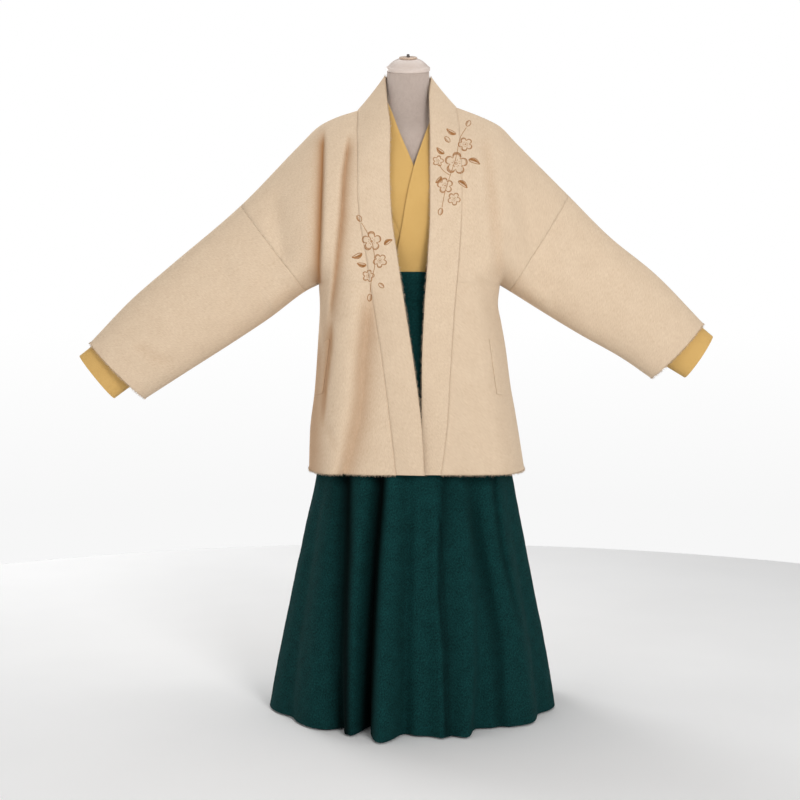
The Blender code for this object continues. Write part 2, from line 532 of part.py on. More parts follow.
def shell(outer, inner, live):
    """Closed wall between two grids: both faces and a rim wherever the cloth ends."""
    wrap = live.shape[0] == outer.shape[0]
    rows, cols = outer.shape[:2]
    vertices = np.concatenate([outer.reshape(-1, 3), inner.reshape(-1, 3)])
    count = rows * cols

    def index(row, col):
        return (row % rows) * cols + col

    def is_live(row, col):
        if wrap:
            row %= live.shape[0]
        return 0 <= row < live.shape[0] and 0 <= col < live.shape[1] and live[row, col]

    faces = []
    for row, col in zip(*np.nonzero(live)):
        a, b = index(row, col), index(row, col + 1)
        c, d = index(row + 1, col + 1), index(row + 1, col)
        for three in ((a, b, c), (a, c, d)):
            faces.append(three)
            faces.append(tuple(v + count for v in three[::-1]))
        for start, stop, beside in ((a, b, (row - 1, col)), (b, c, (row, col + 1)),
                                    (c, d, (row + 1, col)), (d, a, (row, col - 1))):
            if not is_live(*beside):
                faces.append((stop, start, start + count, stop + count))
    used = sorted({v for face in faces for v in face})
    order = {v: k for k, v in enumerate(used)}
    return vertices[used], [tuple(order[v] for v in face) for face in faces]


def oriented(vertices, faces):
    """Faces turned to point out, judged by the signed volume they enclose."""
    volume = 0.0
    for face in faces:
        for k in range(1, len(face) - 1):
            a, b, c = (vertices[face[i]] for i in (0, k, k + 1))
            volume += np.dot(a, np.cross(b, c))
    return faces if volume > 0 else [face[::-1] for face in faces]


def material(name, colour, roughness, metallic=0.0):
    """A plain Principled material."""
    made = bpy.data.materials.new(name)
    made.use_nodes = True
    shader = made.node_tree.nodes["Principled BSDF"]
    shader.inputs["Base Color"].default_value = (*colour, 1.0)
    shader.inputs["Roughness"].default_value = roughness
    shader.inputs["Metallic"].default_value = metallic
    return made


def add_object(name, vertices, faces, finish, smooth_angle=40):
    """A mesh object of one closed body."""
    mesh = bpy.data.meshes.new(name)
    mesh.from_pydata([tuple(float(c) for c in v) for v in vertices], [],
                     oriented(np.asarray(vertices, float), faces))
    mesh.update()
    mesh.shade_smooth()
    mesh.set_sharp_from_angle(angle=math.radians(smooth_angle))
    mesh.materials.append(finish)
    made = bpy.data.objects.new(name, mesh)
    bpy.context.scene.collection.objects.link(made)
    return made


def split_quads(points_outer, points_inner, live, name, finish):
    """Wall object from an outer and an inner grid."""
    vertices, faces = shell(points_outer, points_inner, live)
    return add_object(name, vertices, faces, finish)


def stack_solid(rings, name, finish):
    """Solid between rings of equal point counts, with a flat or fanned cap at each end."""
    count = len(rings[0])
    vertices = np.concatenate(rings)
    faces = [tuple(range(count))[::-1],
             tuple(range(len(vertices) - count, len(vertices)))]
    for ring in range(len(rings) - 1):
        for k in range(count):
            a, b = ring * count + k, ring * count + (k + 1) % count
            faces.append((a, b, b + count, a + count))
    return add_object(name, vertices, faces, finish)


def oval(z, right, left, front, back, facets):
    """Ring of four quarter ellipses that meet on the side and middle lines."""
    turn = np.arange(facets) * 2 * np.pi / facets
    x, y = np.sin(turn), -np.cos(turn)
    return np.stack([x * np.where(x < 0, right, left), y * np.where(y < 0, front, back),
                     np.full(facets, float(z))], axis=1)


def build_coat_shape():
    """The coat's outline, depths and folds."""
    coat = Garment(COAT_TOP, COAT_UNDERARM, COAT_SIDE, COAT_SHOULDER, COAT_DROP, COAT_BAND,
                   COAT_NECK, COAT_BODY_DEPTH, COAT_SLEEVE_DEPTH, COAT_TOP_REACH,
                   COAT_LOW_REACH, 0.15, 0.0, COAT_GRID)
    for side in (RIGHT, LEFT):
        coat.folds[side, FRONT] = COAT_FOLDS[side] + SLEEVE_FOLDS[side]
        coat.folds[side, BACK] = COAT_BACK_FOLDS + SLEEVE_FOLDS[side]
    return coat


def build_shirt_shape():
    """The shirt's outline and depths, taken from the coat and its own tables."""
    top = {}
    for side in (RIGHT, LEFT):
        line = (inset(COAT_TOP[side], SHIRT_INSET["shoulder"])[:SHOULDER_POINTS]
                + inset(COAT_TOP[side], SHIRT_INSET["sleeve"])[SHOULDER_POINTS:])
        seam = SHIRT_BAND[side][0]
        top[side] = [(seam[0], seam[1])] + line[1:] + [SHIRT_CUFF[side]]
    return Garment(top, SHIRT_UNDERARM, {RIGHT: SHIRT_SIDE, LEFT: SHIRT_SIDE},
                   {RIGHT: SHIRT_SHOULDER, LEFT: SHIRT_SHOULDER},
                   {RIGHT: SHIRT_DROP, LEFT: SHIRT_DROP}, SHIRT_BAND, SHIRT_NECK,
                   SHIRT_BODY_DEPTH, SHIRT_SLEEVE_DEPTH, SHIRT_TOP_REACH, SHIRT_LOW_REACH,
                   0.10, 1.20, SHIRT_GRID)


def garment_grids(garment, prefix, band):
    """Outer grids of all the cut pieces of a garment."""
    fronts = {side: garment.front(side) for side in (RIGHT, LEFT)}
    collar = garment.collar(fronts, band["cells"], band["crown"])
    back = garment.back()
    snap_neck(garment, back[0], collar[0])
    return {prefix + "_front_right": fronts[RIGHT], prefix + "_front_left": fronts[LEFT],
            prefix + "_back": back, prefix + "_sleeve_right": garment.sleeve(RIGHT),
            prefix + "_sleeve_left": garment.sleeve(LEFT), prefix + "_collar": collar}


def wall_garment(grids, wall, finish):
    """Solids of all the pieces of a garment, each pulled back from its seams."""
    facing = {}
    for name, (points, live) in grids.items():
        wrap = live.shape[0] == points.shape[0]
        closed = np.concatenate([points, points[:1]]) if wrap else points
        normals = np.cross(closed[1:, 1:] - closed[:-1, :-1], closed[1:, :-1] - closed[:-1, 1:])
        centres = (closed[1:, 1:] + closed[:-1, :-1]) / 2
        axis = centres.mean(axis=0, keepdims=True) if wrap else np.array([0, 0, centres[..., 2].mean()])
        turned = ((centres - axis) * normals * live[..., None]).sum() < 0
        facing[name] = (points[:, ::-1].copy(), live[:, ::-1].copy()) if turned else (points, live)
    normals = shared_normals(facing)
    for name, (points, live) in facing.items():
        outer = draw_in(points, live, SEAM_DRAW)
        inner = draw_in(points - wall * normals[name], live, SEAM_DRAW)
        split_quads(outer, inner, live, name, finish)
    return facing, normals


def build_welts(facing, normals, finish):
    """A pocket welt on each front, made from the front's own points moved out."""
    for side, word in ((RIGHT, "right"), (LEFT, "left")):
        name = "coat_front_" + word
        points, live = facing[name]
        normal = normals[name]
        first = COAT_GRID["upper"] + WELT_ROWS[0]
        last = COAT_GRID["upper"] + WELT_ROWS[1] + 1
        low = 2 * COAT_GRID["shoulder"] - WELT_COLUMN
        if abs(points[0, 0, 0]) > abs(points[0, -1, 0]):
            low = points.shape[1] - 2 - low
        ends = WELT_SHARES if side == LEFT else [1 - share for share in WELT_SHARES[::-1]]
        part, lean = (np.stack([grid[first:last, low] * (1 - share)
                                + grid[first:last, low + 1] * share for share in ends], axis=1)
                      for grid in (points, normal))
        split_quads(part + lean * (WELT_GAP + WELT_WALL), part + lean * WELT_GAP,
                    np.ones((part.shape[0] - 1, 1), bool), "coat_pocket_welt_" + word, finish)


def rib_angles():
    """Hem angles of the skirt's ribs, closer together in front."""
    fine = np.arange(FINE_FROM, FINE_TO, SKIRT_FINE)
    coarse = np.arange(FINE_TO, 360 + FINE_FROM - 0.01, SKIRT_COARSE)
    return np.concatenate([fine, coarse])


def skirt_point_angles(hem_angle, z):
    """Angle of a rib at a level: it swings from its place at the coat hem to the hem."""
    high, low = column(SKIRT_FOLDS, 0, 1)
    high = np.concatenate([high[-1:] - 360, high, high[:1] + 360])
    low = np.concatenate([low[-1:] - 360, low, low[:1] + 360])
    wrapped = np.where(hem_angle > LAST_ANGLE, hem_angle - 360, hem_angle)
    swing = smooth(wrapped, low, high) - wrapped
    return np.radians(hem_angle + swing * np.clip(z / SWING_Z, 0, 1))


def skirt_ring(angles, z):
    """Points of the skirt at one level."""
    levels, right, left, front, back = column(SKIRT_SECTIONS, 0, 1, 2, 3, 4)
    turn = skirt_point_angles(angles, z)
    wide = np.where(np.sin(turn) < 0, smooth(z, levels, right), smooth(z, levels, left))
    deep = np.where(np.cos(turn) > 0, smooth(z, levels, front), smooth(z, levels, back))
    radius = 1 / np.sqrt((np.sin(turn) / wide) ** 2 + (np.cos(turn) / deep) ** 2)
    open_share = np.clip((FOLDS_START_Z - z) / FOLDS_START_Z, 0, 1) ** FOLDS_OPEN
    for _, place, rise, width in SKIRT_FOLDS:
        off = (angles - place + 180) % 360 - 180
        radius = radius + rise * open_share * np.exp(-(off / width) ** 2)
    return np.stack([radius * np.sin(turn), -radius * np.cos(turn), np.full(len(turn), z)], axis=1)


def build_skirt(finish):
    """Four gores with the folds in them, 0.3 mm apart at their seams."""
    angles = rib_angles()
    points = np.stack([skirt_ring(angles, z) for z in SKIRT_LEVELS])
    ahead, behind = np.roll(points, -1, axis=1), np.roll(points, 1, axis=1)
    run = ahead - behind
    plan = np.stack([run[..., 1], -run[..., 0], np.zeros(run.shape[:2])], axis=2)
    plan /= np.linalg.norm(plan, axis=2, keepdims=True)
    inner = points - plan * SKIRT_WALL
    seams = [int(np.argmin(np.abs((angles - seam + 180) % 360 - 180))) for seam in SKIRT_SEAMS]
    for k, name in enumerate(SKIRT_PARTS):
        start, stop = seams[k], seams[(k + 1) % len(seams)]
        if stop <= start:
            stop += len(angles)
        pick = np.arange(start, stop + 1) % len(angles)
        live = np.ones((len(SKIRT_LEVELS) - 1, len(pick) - 1), bool)
        split_quads(draw_in(points[:, pick], live, SEAM_DRAW),
                    draw_in(inner[:, pick], live, SEAM_DRAW), live, name, finish)


def waist_oval(z, grow):
    """Ring round the waist, grown outwards from the top of the skirt."""
    _, right, left, front, back = SKIRT_SECTIONS[0]
    return oval(z, right + grow, left + grow, front + grow, back + grow, WAIST_FACETS)


def ring_wall(outer_rings, inner_rings, name, finish):
    """Closed band from rings listed from bottom to top."""
    outer = np.stack(outer_rings, axis=1)
    inner = np.stack(inner_rings, axis=1)
    live = np.ones((outer.shape[0], outer.shape[1] - 1), bool)
    split_quads(outer, inner, live, name, finish)


def build_waistband(finish):
    """Plain waistband above the skirt's gores."""
    levels = (WAISTBAND["low"], WAISTBAND["high"])
    ring_wall([waist_oval(z, WAISTBAND["grow"]) for z in levels],
              [waist_oval(z, WAISTBAND["grow"] - SKIRT_WALL) for z in levels],
              "skirt_waistband", finish)


def build_sash(finish):
    """Narrow sash wound over the waistband, with slanting wrinkles across it."""
    facets = WAIST_FACETS
    turn = np.arange(facets) * 2 * np.pi / facets
    levels = np.linspace(SASH["low"], SASH["high"], SASH["rows"] + 1)
    outer = []
    for k, z in enumerate(levels):
        ring = waist_oval(z, WAISTBAND["grow"] + REST_GAP + SASH["wall"])
        slant = np.sin(SASH["wrinkles"] * turn + SASH["slant"] * k)
        wave = SASH["ripple"] * (0.5 + 0.5 * slant) * (0 < k < len(levels) - 1)
        out = np.stack([np.sin(turn), -np.cos(turn), np.zeros(facets)], axis=1)
        outer.append(ring + out * wave[:, None])
    inner = [waist_oval(z, WAISTBAND["grow"] + REST_GAP) for z in levels]
    ring_wall(outer, inner, "skirt_sash", finish)


def form_ring(shirt, z, half, front, back):
    """Section of the dress form, kept inside the shirt where there is one."""
    ring = oval(z, half, half, front, back, FORM_FACETS)
    if SHIRT_ON_FORM[0] < z < SHIRT_ON_FORM[1]:
        for side in (RIGHT, LEFT):
            for face in (FRONT, BACK):
                mine = (ring[:, 0] * side > 1e-6) & (ring[:, 1] * face > 1e-6)
                room = shirt.depth(side, face, np.abs(ring[mine, 0]), np.full(mine.sum(), z))
                limit = np.maximum(room - FORM_CLEAR - UNDER_LAYER,
                                   FORM_LEAST * np.abs(ring[mine, 1]))
                ring[mine, 1] = face * np.minimum(np.abs(ring[mine, 1]), limit)
    return ring


def build_form(shirt, linen, plastic, wood, dark, steel):
    """Torso with its neck, the cap on it, the pole and the base plate."""
    rings = []
    for z, half, front, back in FORM_SECTIONS:
        ring = form_ring(shirt, z, half, front, back)
        lean = np.clip((z - NECK_BASE_Z) / (FORM_SECTIONS[-1][0] - NECK_BASE_Z), 0, 1)
        ring[:, 2] += ring[:, 1] * math.tan(NECK_TILT) * lean
        rings.append(ring)
    stack_solid(rings, "form_torso", linen)

    def tilted(radius, high):
        turn = np.arange(CAP["facets"]) * 2 * np.pi / CAP["facets"]
        x, y = radius * np.sin(turn), -radius * np.cos(turn)
        base_z = FORM_SECTIONS[-1][0] + REST_GAP
        return np.stack([x, y * math.cos(NECK_TILT) - high * math.sin(NECK_TILT),
                         base_z + y * math.sin(NECK_TILT) + high * math.cos(NECK_TILT)], axis=1)

    top = CAP["high"]
    stack_solid([tilted(CAP["rim"] - 0.0005, 0.0), tilted(CAP["rim"], 0.001),
                 tilted(CAP["rim"], CAP["rim_high"]), tilted(CAP["rim"] - 0.004, CAP["rim_high"] + 0.003),
                 tilted(CAP["top"] + 0.003, top - 0.002), tilted(CAP["top"], top)],
                "form_neck_cap", plastic)
    disc = top + REST_GAP
    stack_solid([tilted(CAP_DISC["radius"], disc), tilted(CAP_DISC["radius"], disc + CAP_DISC["high"])],
                "form_cap_disc", wood)
    nub = disc + CAP_DISC["high"] + REST_GAP
    stack_solid([tilted(CAP_NUB["radius"], nub), tilted(CAP_NUB["radius"] * 0.8, nub + CAP_NUB["high"])],
                "form_cap_nub", dark)

    low, high = BASE["high"] + REST_GAP, FORM_SECTIONS[0][0] - REST_GAP
    stack_solid([oval(z, *[POLE["radius"]] * 4, POLE["facets"]) for z in (low, high)],
                "form_pole", steel)
    plate = [(0.0, BASE["radius"]), (BASE["high"] - BASE["round"], BASE["radius"]),
             (BASE["high"], BASE["radius"] - BASE["round"])]
    stack_solid([oval(z, r, r, r, r, BASE["facets"]) for z, r in plate], "form_base", steel)


def main():
    """Clear the scene and build the whole set."""
    for old in list(bpy.data.objects):
        bpy.data.objects.remove(old, do_unlink=True)
    wool = material("camel_wool", (0.72, 0.58, 0.41), 0.95)
    cotton = material("mustard_cotton", (0.68, 0.44, 0.15), 0.85)
    green = material("green_wool", (0.010, 0.075, 0.065), 0.9)
    linen = material("form_linen", (0.58, 0.47, 0.39), 0.9)
    plastic = material("cap_plastic", (0.62, 0.54, 0.51), 0.35)
    wood = material("cap_wood", (0.58, 0.36, 0.19), 0.5)
    dark = material("cap_nub_plastic", (0.05, 0.04, 0.04), 0.5)
    steel = material("stand_steel", (0.55, 0.55, 0.56), 0.35, 1.0)

    coat = build_coat_shape()
    facing, normals = wall_garment(garment_grids(coat, "coat", COAT_COLLAR), COAT_WALL, wool)
    build_welts(facing, normals, wool)

    shirt = build_shirt_shape()
    shirt.under_layer[RIGHT] = UNDER_LAYER
    wall_garment(garment_grids(shirt, "shirt", SHIRT_COLLAR), SHIRT_WALL, cotton)

    build_skirt(green)
    build_waistband(green)
    build_sash(green)
    build_form(shirt, linen, plastic, wood, dark, steel)


main()
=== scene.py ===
"""Looks of a hanfu skirt set: wool coat, crossed-collar shirt and long wool skirt on a dress form.

Metres, +Z up, the wearer faces -Y and the origin is on the floor under the form.  RIGHT is the
wearer's right (-X) and LEFT the wearer's left (+X); side tables give x towards their own side.
"""
import logging
import math
from collections.abc import Sequence
from dataclasses import dataclass, field
from enum import Enum, IntEnum

import bpy
import numpy as np
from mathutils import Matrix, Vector
from mathutils.bvhtree import BVHTree


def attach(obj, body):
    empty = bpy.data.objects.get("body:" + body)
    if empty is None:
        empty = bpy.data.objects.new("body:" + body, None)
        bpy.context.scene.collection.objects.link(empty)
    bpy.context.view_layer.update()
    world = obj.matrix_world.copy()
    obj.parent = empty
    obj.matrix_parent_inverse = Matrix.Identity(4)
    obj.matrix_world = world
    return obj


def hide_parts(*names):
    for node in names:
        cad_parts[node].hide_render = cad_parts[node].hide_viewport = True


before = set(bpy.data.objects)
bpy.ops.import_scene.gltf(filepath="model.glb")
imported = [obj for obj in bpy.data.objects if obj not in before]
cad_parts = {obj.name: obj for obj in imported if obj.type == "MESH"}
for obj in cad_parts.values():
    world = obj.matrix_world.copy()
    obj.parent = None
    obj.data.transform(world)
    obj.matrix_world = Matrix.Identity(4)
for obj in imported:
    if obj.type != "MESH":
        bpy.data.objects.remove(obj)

LOG = logging.getLogger("hanfu_skirt_set")
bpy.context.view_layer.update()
BODY = "root"
MM = 0.001
CLOTH_MAP = "cloth"            # UV map that holds the cloth's own metres
FOLD_SHADE = "fold_shade"      # point values of how much painted shade the cloth gets down in a fold
FLOOR_Z = 0.0

Array = np.ndarray
Material = bpy.types.Material
Object = bpy.types.Object
Line = Sequence[tuple[float, float]]
Row = tuple[float, float, float, float]


class Side(IntEnum):
    """Side of the wearer; the value is the sign of x."""

    RIGHT = -1
    LEFT = 1


class Face(IntEnum):
    """Front or back of a garment; the value is the sign of y."""

    FRONT = -1
    BACK = 1


class Held(Enum):
    """How a sheet of cloth is carried."""

    HUNG = "hung"
    DRAPED = "draped"


# Colours, nodes and objects

def linear(colour: str) -> tuple[float, float, float, float]:
    """Turn an sRGB hex colour, such as #DEC9AF, into linear RGBA with an alpha of 1."""
    parts = [int(colour[k:k + 2], 16) / 255 for k in (1, 3, 5)]
    return (*(c / 12.92 if c <= 0.04045 else ((c + 0.055) / 1.055) ** 2.4 for c in parts), 1.0)


def add_node(tree: bpy.types.NodeTree, kind: str, settings: dict | None = None,
             links: dict | None = None) -> bpy.types.Node:
    """Add a node with its settings and links.

    Args:
        tree: node tree that gets the node.
        kind: Blender's name of the node type, without its first word ShaderNode.
        settings: attributes by name, or input values by name or number.
        links: output sockets by the input's name or number.

    Returns:
        The new node.
    """
    node = tree.nodes.new("ShaderNode" + kind)
    for key, value in (settings or {}).items():
        if isinstance(key, str) and hasattr(node, key):
            setattr(node, key, value)
        else:
            node.inputs[key].default_value = value
    for key, source in (links or {}).items():
        tree.links.new(source, node.inputs[key])
    return node


def new_material(name: str) -> tuple[Material, bpy.types.NodeTree]:
    """Make an empty node material, and return it with its node tree."""
    made = bpy.data.materials.new(name)
    made.use_nodes = True
    made.node_tree.nodes.clear()
    return made, made.node_tree


def close_material(tree: bpy.types.NodeTree, shader: bpy.types.Node) -> None:
    """Link a shader to the material's output."""
    add_node(tree, "OutputMaterial", links={"Surface": shader.outputs[0]})


def put_in_scene(name: str, data: bpy.types.ID) -> Object:
    """Make an object of the data and link it to the scene."""
    made = bpy.data.objects.new(name, data)
    bpy.context.scene.collection.objects.link(made)
    return made


@dataclass(frozen=True)
class ClothFinish:
    """A napped or woven cloth, drawn in the cloth's own metres from the UV map."""

    name: str
    light: str                 # colour of the raised fibres
    deep: str                  # colour down between them
    fold: str                  # painted shade: the colour mixed in down a fold, where shade falls
    thread_mm: float           # spacing of the threads, as coarse as it is drawn
    weave: float               # height of the weave in the bump
    nap: float                 # height of the nap in the bump
    bump_mm: float
    roughness: float
    sheen: float
    sheen_tint: str
    nap_mm: tuple[float, float] = (1.6, 7.0)     # width and length of a tuft
    nap_lean: float = 0.0      # degrees that the tufts lean from straight down
    cloud_mm: float = 26.0     # size of the soft clouds of lighter and darker cloth
    specular: float = 0.25

    CLOUD_WEIGHT = 0.25        # what the clouds add to the colour, beside nap and weave
    COLOUR_FROM, COLOUR_TO = 0.30, 0.70          # heights of the deep and the light colour

    def build(self) -> Material:
        """Build the cloth material.

        Returns:
            The material.
        """
        made, tree = new_material(self.name)
        cloth = add_node(tree, "UVMap", {"uv_map": CLOTH_MAP}).outputs[0]
        wide, long = self.nap_mm
        tuft_place = add_node(tree, "Mapping",
                              {"vector_type": "TEXTURE", "Scale": (wide * MM, long * MM, 1),
                               "Rotation": (0, 0, math.radians(self.nap_lean))},
                              {"Vector": cloth}).outputs[0]
        tuft = add_node(tree, "TexNoise", {"Scale": 1.0, "Detail": 4.0, "Roughness": 0.6,
                                           "Distortion": 0.4},
                        {"Vector": tuft_place}).outputs[0]
        cloud = add_node(tree, "TexNoise", {"Scale": 1 / (self.cloud_mm * MM), "Detail": 3.0},
                         {"Vector": cloth}).outputs[0]
        # at scale 1 a wave node's bands are pi / 10 apart
        thread_scale = 1 / (self.thread_mm * MM) * math.pi / 10
        warp, weft = (add_node(tree, "TexWave",
                               {"bands_direction": way, "Scale": thread_scale, "Distortion": 0.6,
                                "Detail": 1.0, "Detail Scale": 2.0},
                               {"Vector": cloth}).outputs["Fac"]
                      for way in ("X", "Y"))
        crossing = add_node(tree, "Math", {"operation": "MULTIPLY"}, {0: warp, 1: weft}).outputs[0]
        woven = add_node(tree, "Math", {"operation": "MULTIPLY", 1: self.weave},
                         {0: crossing}).outputs[0]
        height = add_node(tree, "Math", {"operation": "MULTIPLY_ADD", 1: self.nap},
                          {0: tuft, 2: woven}).outputs[0]
        bump = add_node(tree, "Bump", {"Strength": 0.9, "Distance": self.bump_mm * MM},
                        {"Height": height}).outputs[0]
        mixed = add_node(tree, "Math", {"operation": "MULTIPLY_ADD", 1: self.CLOUD_WEIGHT},
                         {0: cloud, 2: height}).outputs[0]
        tallest = self.weave * 0.5 + self.nap + self.CLOUD_WEIGHT
        share = add_node(tree, "MapRange",
                         {"From Min": self.COLOUR_FROM * tallest,
                          "From Max": self.COLOUR_TO * tallest},
                         {"Value": mixed}).outputs[0]
        flat = add_node(tree, "Mix", {"data_type": "RGBA", 6: linear(self.deep),
                                      7: linear(self.light)}, {0: share}).outputs[2]
        # Painted shade: the fold colour is mixed in by the fold_shade point values.
        valley = add_node(tree, "Attribute", {"attribute_name": FOLD_SHADE}).outputs["Fac"]
        colour = add_node(tree, "Mix", {"data_type": "RGBA", 7: linear(self.fold)},
                          {0: valley, 6: flat}).outputs[2]
        shader = add_node(tree, "BsdfPrincipled",
                          {"Roughness": self.roughness, "Sheen Weight": self.sheen,
                           "Sheen Roughness": 0.45, "Sheen Tint": linear(self.sheen_tint),
                           "Specular IOR Level": self.specular},
                          {"Base Color": colour, "Normal": bump})
        close_material(tree, shader)
        return made


@dataclass(frozen=True)
class SolidFinish:
    """A moulded, turned or brushed solid, drawn in the object's own metres."""

    name: str
    light: str
    deep: str
    grain_mm: tuple[float, float, float]         # size of the pattern along x, y and z
    bump_mm: float
    roughness: float
    metallic: float = 0.0
    coat: float = 0.0

    def build(self) -> Material:
        """Build the solid's material.

        Returns:
            The material.
        """
        made, tree = new_material(self.name)
        place = add_node(tree, "TexCoord").outputs["Object"]
        scaled = add_node(tree, "Mapping",
                          {"Scale": tuple(1 / (size * MM) for size in self.grain_mm)},
                          {"Vector": place}).outputs[0]
        grain = add_node(tree, "TexNoise", {"Scale": 1.0, "Detail": 5.0, "Roughness": 0.55},
                         {"Vector": scaled}).outputs[0]
        colour = add_node(tree, "Mix", {"data_type": "RGBA", 6: linear(self.deep),
                                        7: linear(self.light)}, {0: grain}).outputs[2]
        rough = add_node(tree, "MapRange", {"To Min": self.roughness - 0.06,
                                            "To Max": self.roughness + 0.08},
                         {"Value": grain}).outputs[0]
        bump = add_node(tree, "Bump", {"Strength": 0.6, "Distance": self.bump_mm * MM},
                        {"Height": grain}).outputs[0]
        shader = add_node(tree, "BsdfPrincipled",
                          {"Metallic": self.metallic, "Coat Weight": self.coat,
                           "Coat Roughness": 0.2},
                          {"Base Color": colour, "Roughness": rough, "Normal": bump})
        close_material(tree, shader)
        return made


# Brushed camel wool coating: the raised fibres catch the light, so it looks soft and matt.
# A tuft is 1.7 mm wide and 8 mm long, and is drawn at that size.
# Its fold colour is painted shade, mixed in down the coat's folds.
CAMEL_WOOL = ClothFinish(
    "brushed_camel_wool", light="#DEC9AF", deep="#C9B095", fold="#A2744A", thread_mm=1.8, weave=0.1,
    nap=1.0, bump_mm=1.25, roughness=0.95, sheen=0.15, sheen_tint="#FFF1DC", nap_mm=(1.7, 8.0),
    nap_lean=28, cloud_mm=34.0, specular=0.08)
# Plain-woven mustard cotton: even and smooth. Threads lie 0.4 mm apart, drawn 1 mm apart so that
# they show.
# Its fold colour is painted shadow, mixed in under the coat's band.
MUSTARD_COTTON = ClothFinish(
    "mustard_plain_weave_cotton", light="#D9B370", deep="#C59C58", fold="#7A4E17", thread_mm=1.0,
    weave=0.9, nap=0.25, bump_mm=0.18, roughness=0.78, sheen=0.12, sheen_tint="#FFE9B8",
    nap_mm=(0.9, 9.0), nap_lean=0, cloud_mm=40.0, specular=0.3)
# Milled dark green wool: a short close nap that drinks the light, with a faint cool bloom.
# Its tufts are under 1 mm wide, drawn 2.8 mm so that they show.
# Its fold colour is painted shade, mixed in down the skirt's pressed folds.
GREEN_WOOL = ClothFinish(
    "milled_dark_green_wool", light="#154545", deep="#041717", fold="#010606", thread_mm=1.6,
    weave=0.3, nap=1.0, bump_mm=1.5, roughness=0.92, sheen=0.05, sheen_tint="#1F6F6A",
    nap_mm=(2.8, 4.0), nap_lean=20, cloud_mm=30.0, specular=0.06)
# Raised linen jersey over the dress form: pinkish beige and felt-like. Its specks are drawn 2 mm
# wide so that they show.
FORM_LINEN = ClothFinish(
    "raised_linen_jersey", light="#DACABF", deep="#AE9B8F", fold="#8F7A6C", thread_mm=1.0,
    weave=0.5, nap=0.7, bump_mm=0.9, roughness=0.9, sheen=0.5, sheen_tint="#FFF3EC",
    nap_mm=(2.0, 2.4), nap_lean=0, cloud_mm=18.0, specular=0.2)
# Moulded cream polystyrene cap: soft gloss, with faint flow marks.
CAP_PLASTIC = SolidFinish("moulded_polystyrene", light="#D3C5BC", deep="#C2B1A6",
                          grain_mm=(9.0, 9.0, 4.0), bump_mm=0.05, roughness=0.38, coat=0.1)
# Turned beech disc: fine straight grain under a thin lacquer.
CAP_BEECH = SolidFinish("turned_beech", light="#CBB29C", deep="#B0937A",
                        grain_mm=(14.0, 1.6, 14.0), bump_mm=0.06, roughness=0.45, coat=0.15)
# Dark moulded nub: nearly black, slightly glossy.
NUB_PLASTIC = SolidFinish("dark_moulded_nylon", light="#4A3F3A", deep="#2E2724",
                          grain_mm=(3.0, 3.0, 3.0), bump_mm=0.03, roughness=0.4)
# Brushed steel of the pole and base plate: fine lines along the tube.
BRUSHED_STEEL = SolidFinish("brushed_steel", light="#C4C4C6", deep="#A4A4A8",
                            grain_mm=(0.8, 0.8, 30.0), bump_mm=0.03, roughness=0.32, metallic=1.0)
# Rayon embroidery thread: smooth filament that shines along its length.
THREAD = SolidFinish("rayon_embroidery_thread", light="#B0752F", deep="#86531D",
                     grain_mm=(6.0, 6.0, 6.0), bump_mm=0.05, roughness=0.48, coat=0.12)


# Curves

def around(count: int) -> Array:
    """Angles of one full turn in even steps."""
    return np.arange(count) * 2 * np.pi / count


def smooth(at: Array | float, table_x: Sequence[float], table_y: Sequence[float]) -> Array:
    """Read a smooth curve through a table, with no overshoot between its rows.

    Args:
        at: places to read, held to the table's ends.
        table_x: places of the rows, in either order.
        table_y: values of the rows.

    Returns:
        The curve's value at each place.
    """
    order = np.argsort(table_x)
    xs, ys = np.asarray(table_x, float)[order], np.asarray(table_y, float)[order]
    at = np.clip(np.asarray(at, float), xs[0], xs[-1])
    steps = np.diff(xs)
    slopes = np.diff(ys) / steps
    bends = np.empty_like(ys)
    bends[0], bends[-1] = slopes[0], slopes[-1]
    pair = slopes[1:] * slopes[:-1]
    bends[1:-1] = np.where(pair > 0, 2 * pair / np.where(pair > 0, slopes[1:] + slopes[:-1], 1), 0)
    cell = np.clip(np.searchsorted(xs, at, side="right") - 1, 0, len(steps) - 1)
    t = (at - xs[cell]) / steps[cell]
    return (ys[cell] * (1 + 2 * t) * (1 - t) ** 2 + steps[cell] * bends[cell] * t * (1 - t) ** 2
            + ys[cell + 1] * t * t * (3 - 2 * t) + steps[cell] * bends[cell + 1] * t * t * (t - 1))


def curve(at: Array | float, table: Line, place: int = 0, value: int = 1) -> Array:
    """Read a smooth curve through two columns of a table of rows."""
    return smooth(at, [row[place] for row in table], [row[value] for row in table])


def dense(line: Line, along_z: bool = False, count: int = 48) -> list[tuple[float, float]]:
    """Fill a line of (x, z) points with points on a smooth curve.

    Args:
        line: the points.
        along_z: True if the line runs down rather than out.
        count: number of points returned.

    Returns:
        The closer points, from the line's first to its last.
    """
    place, value = (1, 0) if along_z else (0, 1)
    at = np.linspace(line[0][place], line[-1][place], count)
    read = curve(at, line, place, value)
    return [(r, a) if along_z else (a, r) for a, r in zip(at.tolist(), read.tolist())]


def ease(share: Array | float) -> Array:
    """Smooth step from 0 to 1."""
    held = np.clip(share, 0, 1)
    return held * held * (3 - 2 * held)


